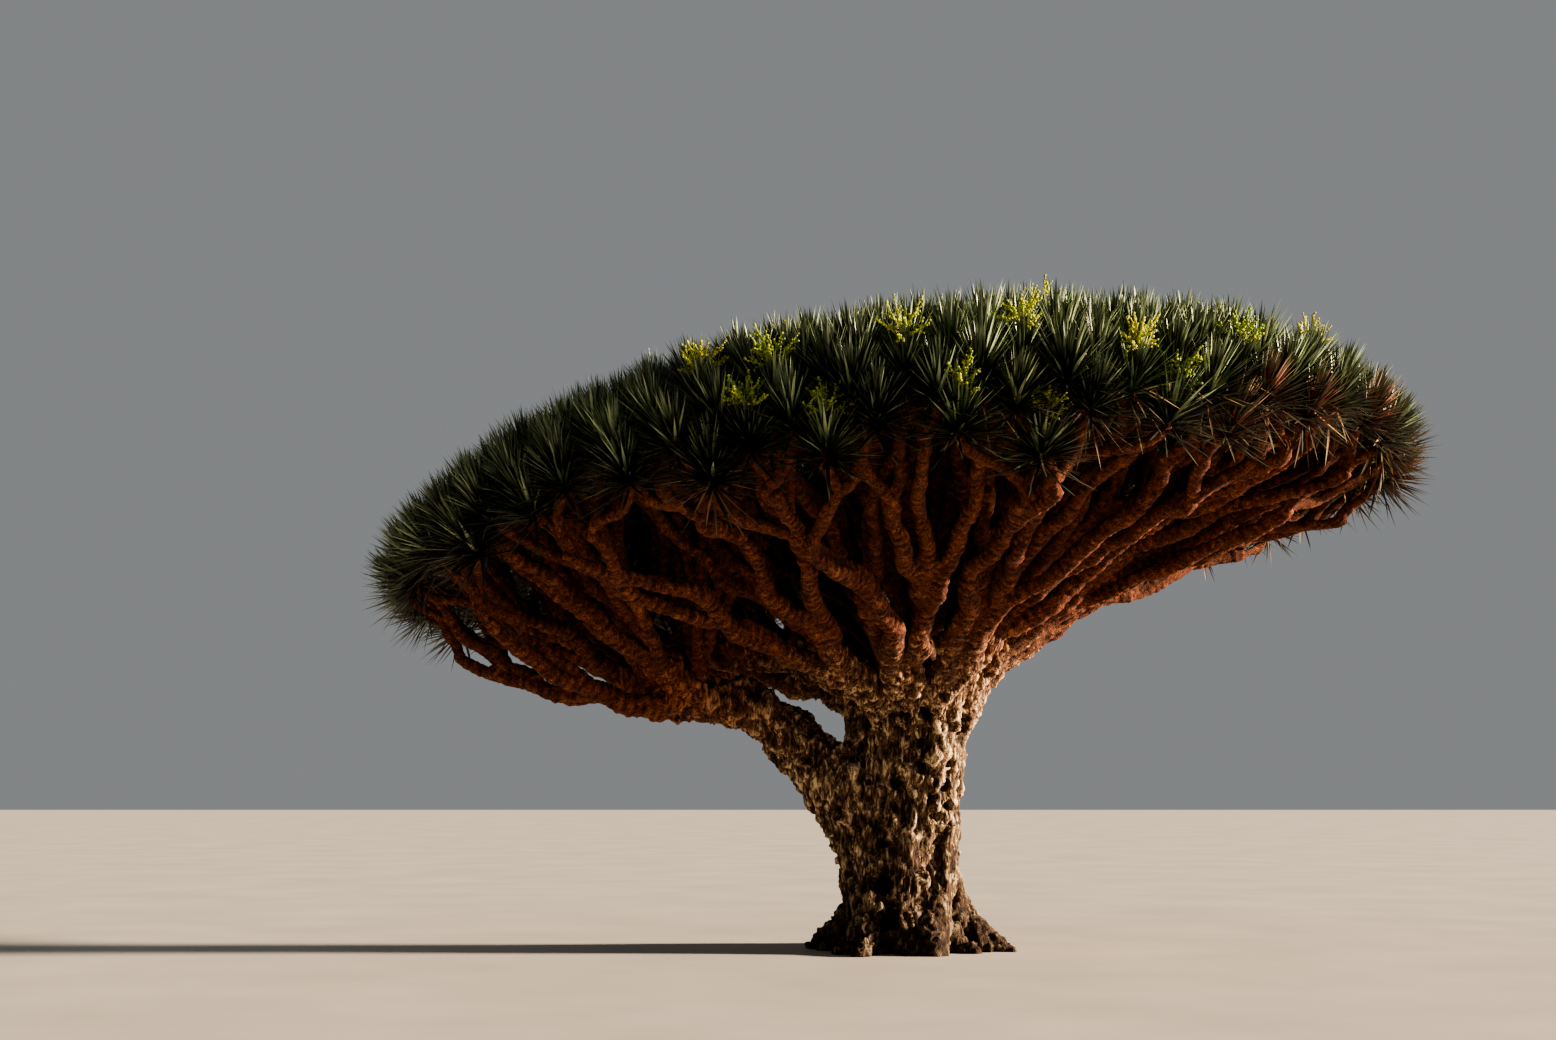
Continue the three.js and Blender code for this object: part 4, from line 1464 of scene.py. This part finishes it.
# %% [markdown]
# A spray's chains of points follow a small rule of their own, with everything measured from the
# rosette's point and axis. Then one tree gives each chain a thin stem and sets flowers along it, as
# eight-sided beads. A bead is a cluster of flowers and larger than life, so that the render can show it.

# %% Sprays of blossom
STALK_START = 0.05  # m above the rosette's point
STALK = 0.24  # m of bare stalk
ARMS = 9
ARM_REACH = (0.14, 0.25)
ARM_TILTS = (0.5, 1.5)  # radians from the axis, of the first and of the last arm
ARM_LOOSE = 0.3  # radians that an arm may turn out of its place
ARM_SPREAD = 0.06  # m of the stalk over which the arms leave it
ARM_RISE = 0.2  # share of its reach by which an arm bends up
SPIKES = 4  # on each arm
SPIKE_REACH = (0.045, 0.085)
SPIKE_UP = 0.3  # how much a spike follows the axis, against its arm's direction
SPIKE_ASIDE = 0.9  # and how much it strays from both
STEM_RADII = (0.008, 0.004, 0.003)  # of the stalk, the arms and the spikes
STEM_SIDES = 3
BEAD_RADIUS = 0.013
BEAD_GAP = 0.021
BEAD_LOOSE = 0.007  # m that a bead may lie beside its stem
BEAD_SCALES = (0.65, 1.2)


def spray_chains(start, axis):
    """The stalk, arms and spikes of one spray, as pairs of path and radii."""
    top = start + axis * STALK
    made = [(np.linspace(start, top, 3), 0)]
    across = unit(np.cross(axis, random.normal(size=3)))
    other = np.cross(axis, across)
    for arm in range(ARMS):
        turn = GOLDEN_ANGLE * arm + random.uniform(-ARM_LOOSE, ARM_LOOSE)
        tilt = ARM_TILTS[0] + (ARM_TILTS[1] - ARM_TILTS[0]) * arm / (ARMS - 1)
        side = across * math.cos(turn) + other * math.sin(turn)
        heading = axis * math.cos(tilt) + side * math.sin(tilt)
        reach = random.uniform(*ARM_REACH)
        t = np.linspace(0, 1, 5)[:, None]
        path = top - axis * ARM_SPREAD * arm / ARMS + reach * (heading * t + ARM_RISE * axis * t**2)
        made.append((path, 1))
        for spike in range(SPIKES):
            step = 1 + spike // 2
            foot = path[step] + (path[step + 1] - path[step]) * (spike % 2) / 2
            spread = unit(heading + SPIKE_UP * axis + SPIKE_ASIDE * unit(random.normal(size=3)))
            made.append((foot + spread * np.linspace(0, random.uniform(*SPIKE_REACH), 3)[:, None], 2))
    return [(path, np.full(len(path), STEM_RADII[rank])) for path, rank in made]


def blossom_tree():
    """Thin stems along the chains, with beads on all that are thinner than the bare ones."""
    sizes = {"Bead radius": "Float", "Bead gap": "Float", "Bare above": "Float", "Seed": "Int"}
    tree, inputs = new_tree("blossom", {**sizes, "Material": "Material"})
    curve, radius, stems = swept(tree, inputs["Geometry"], STEM_SIDES)
    beads = {"Curve": curve, "Length": inputs["Bead gap"]}
    beads = add_node(tree, "GeometryNodeCurveToPoints", beads, mode="LENGTH")
    fine = maths(tree, "LESS_THAN", radius, inputs["Bare above"])
    loose = {"Min": (-BEAD_LOOSE,) * 3, "Max": (BEAD_LOOSE,) * 3, "Seed": inputs["Seed"]}
    loose = add_node(tree, "FunctionNodeRandomValue", loose, data_type="FLOAT_VECTOR")
    beads = add_node(tree, "GeometryNodeSetPosition", {0: beads, "Offset": loose})
    bead = {"Segments": 4, "Rings": 2, "Radius": inputs["Bead radius"]}
    bead = add_node(tree, "GeometryNodeMeshUVSphere", bead)
    turn = {"Max": (math.pi,) * 3, "Seed": 1}
    turn = add_node(tree, "FunctionNodeRandomValue", turn, data_type="FLOAT_VECTOR")
    scale = random_number(tree, *BEAD_SCALES, 2)
    placed = {"Points": beads, "Selection": fine, "Instance": bead, "Rotation": turn, "Scale": scale}
    placed = add_node(tree, "GeometryNodeInstanceOnPoints", placed)
    joined = add_node(tree, "GeometryNodeJoinGeometry", {0: stems})
    tree.links.new(placed.outputs[0], joined.inputs[0])
    end_tree(tree, joined, inputs["Material"])
    return tree


# %% [markdown]
# The flowers are small, fleshy and greenish yellow. They are soft and dull, with a slow drift between
# a green and a yellow, so that one spray is fresher than the next.

# %% Blossom
BLOSSOM_COLOURS = ((0.35, "#6f8f1c"), (0.65, "#c3c036"))
BLOSSOM_DRIFT = 900 * MM  # patches of greener and yellower flowers


def drifting_finish(name, waves, detail, colours, roughness):
    """A dull finish that drifts between two colours, so many times in a metre."""
    material, tree, shader, place = finished(name)
    drift = noise(tree, place, waves, Detail=detail)
    colour = add_node(tree, "ShaderNodeValToRGB", {"Fac": drift}, colours)
    paint(tree, shader, colour.outputs[0], roughness)
    return material


petals = drifting_finish("fleshy blossom", 1 / BLOSSOM_DRIFT, 4.0, BLOSSOM_COLOURS, DULL_ROUGHNESS)
starts = places + STALK_START * axes
sprays = [chain for k in flowering for chain in spray_chains(starts[k], axes[k])]
points, edges, radii, _ = chains(sprays)
blossom = mesh_object("spray_chains", points, edges, girth=radii)
blossom = run_tree(blossom_tree(), blossom, "blossom", {
    "Bead radius": BEAD_RADIUS,
    "Bead gap": BEAD_GAP,
    "Bare above": (STEM_RADII[0] + STEM_RADII[1]) / 2,
    "Seed": SEED,
    "Material": petals,
})
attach(blossom, "root")

# %% [markdown]
# Lesson 7: the studio.
# The floor is pale and plain. One warm, slightly soft sun stands low at the right and lights that side
# of the trunk, as in the picture, and an even pale light from all round fills the shade. The picture is
# nearly black under the crown, so the view is one step more contrasty than usual.

# %% Floor and lights
FLOOR_HALF = 90  # m
FLOOR_COLOURS = ((0.3, "#aca79e"), (0.7, "#bab5ac"))
FLOOR_WAVES = 0.7  # in a metre
FLOOR_ROUGHNESS = 0.9
SUN_FROM = Vector((0.95, 0.0, 0.23))
SUN_DISTANCE = 20  # m, which only places its sign in the viewport
SUN_STRENGTH = 20.0
SUN_SOFTNESS = math.radians(5)
SUN_COLOUR = "#ffe6c9"
FILL_STRENGTH = 0.34
FILL_COLOUR = "#d2d5d8"
VIEW_LOOK = "AgX - Medium High Contrast"

corners = [(-1, -1), (1, -1), (1, 1), (-1, 1)]
floor = mesh_object("floor", [(FLOOR_HALF * x, FLOOR_HALF * y, 0) for x, y in corners], (), [(0, 1, 2, 3)])
plaster = drifting_finish("pale plaster", FLOOR_WAVES, 6.0, FLOOR_COLOURS, FLOOR_ROUGHNESS)
floor.data.materials.append(plaster)

sun = bpy.data.objects.new("sun", bpy.data.lights.new("sun", "SUN"))
sun.data.energy = SUN_STRENGTH
sun.data.angle = SUN_SOFTNESS
sun.data.color = linear(SUN_COLOUR)[:3]
sun.location = SUN_FROM * SUN_DISTANCE
sun.rotation_euler = SUN_FROM.to_track_quat("Z", "Y").to_euler()
bpy.context.scene.collection.objects.link(sun)
world = bpy.data.worlds.new("studio")
world.use_nodes = True
fill = world.node_tree.nodes["Background"].inputs
fill["Color"].default_value = linear(FILL_COLOUR)
fill["Strength"].default_value = FILL_STRENGTH
bpy.context.scene.world = world
bpy.context.scene.view_settings.look = VIEW_LOOK
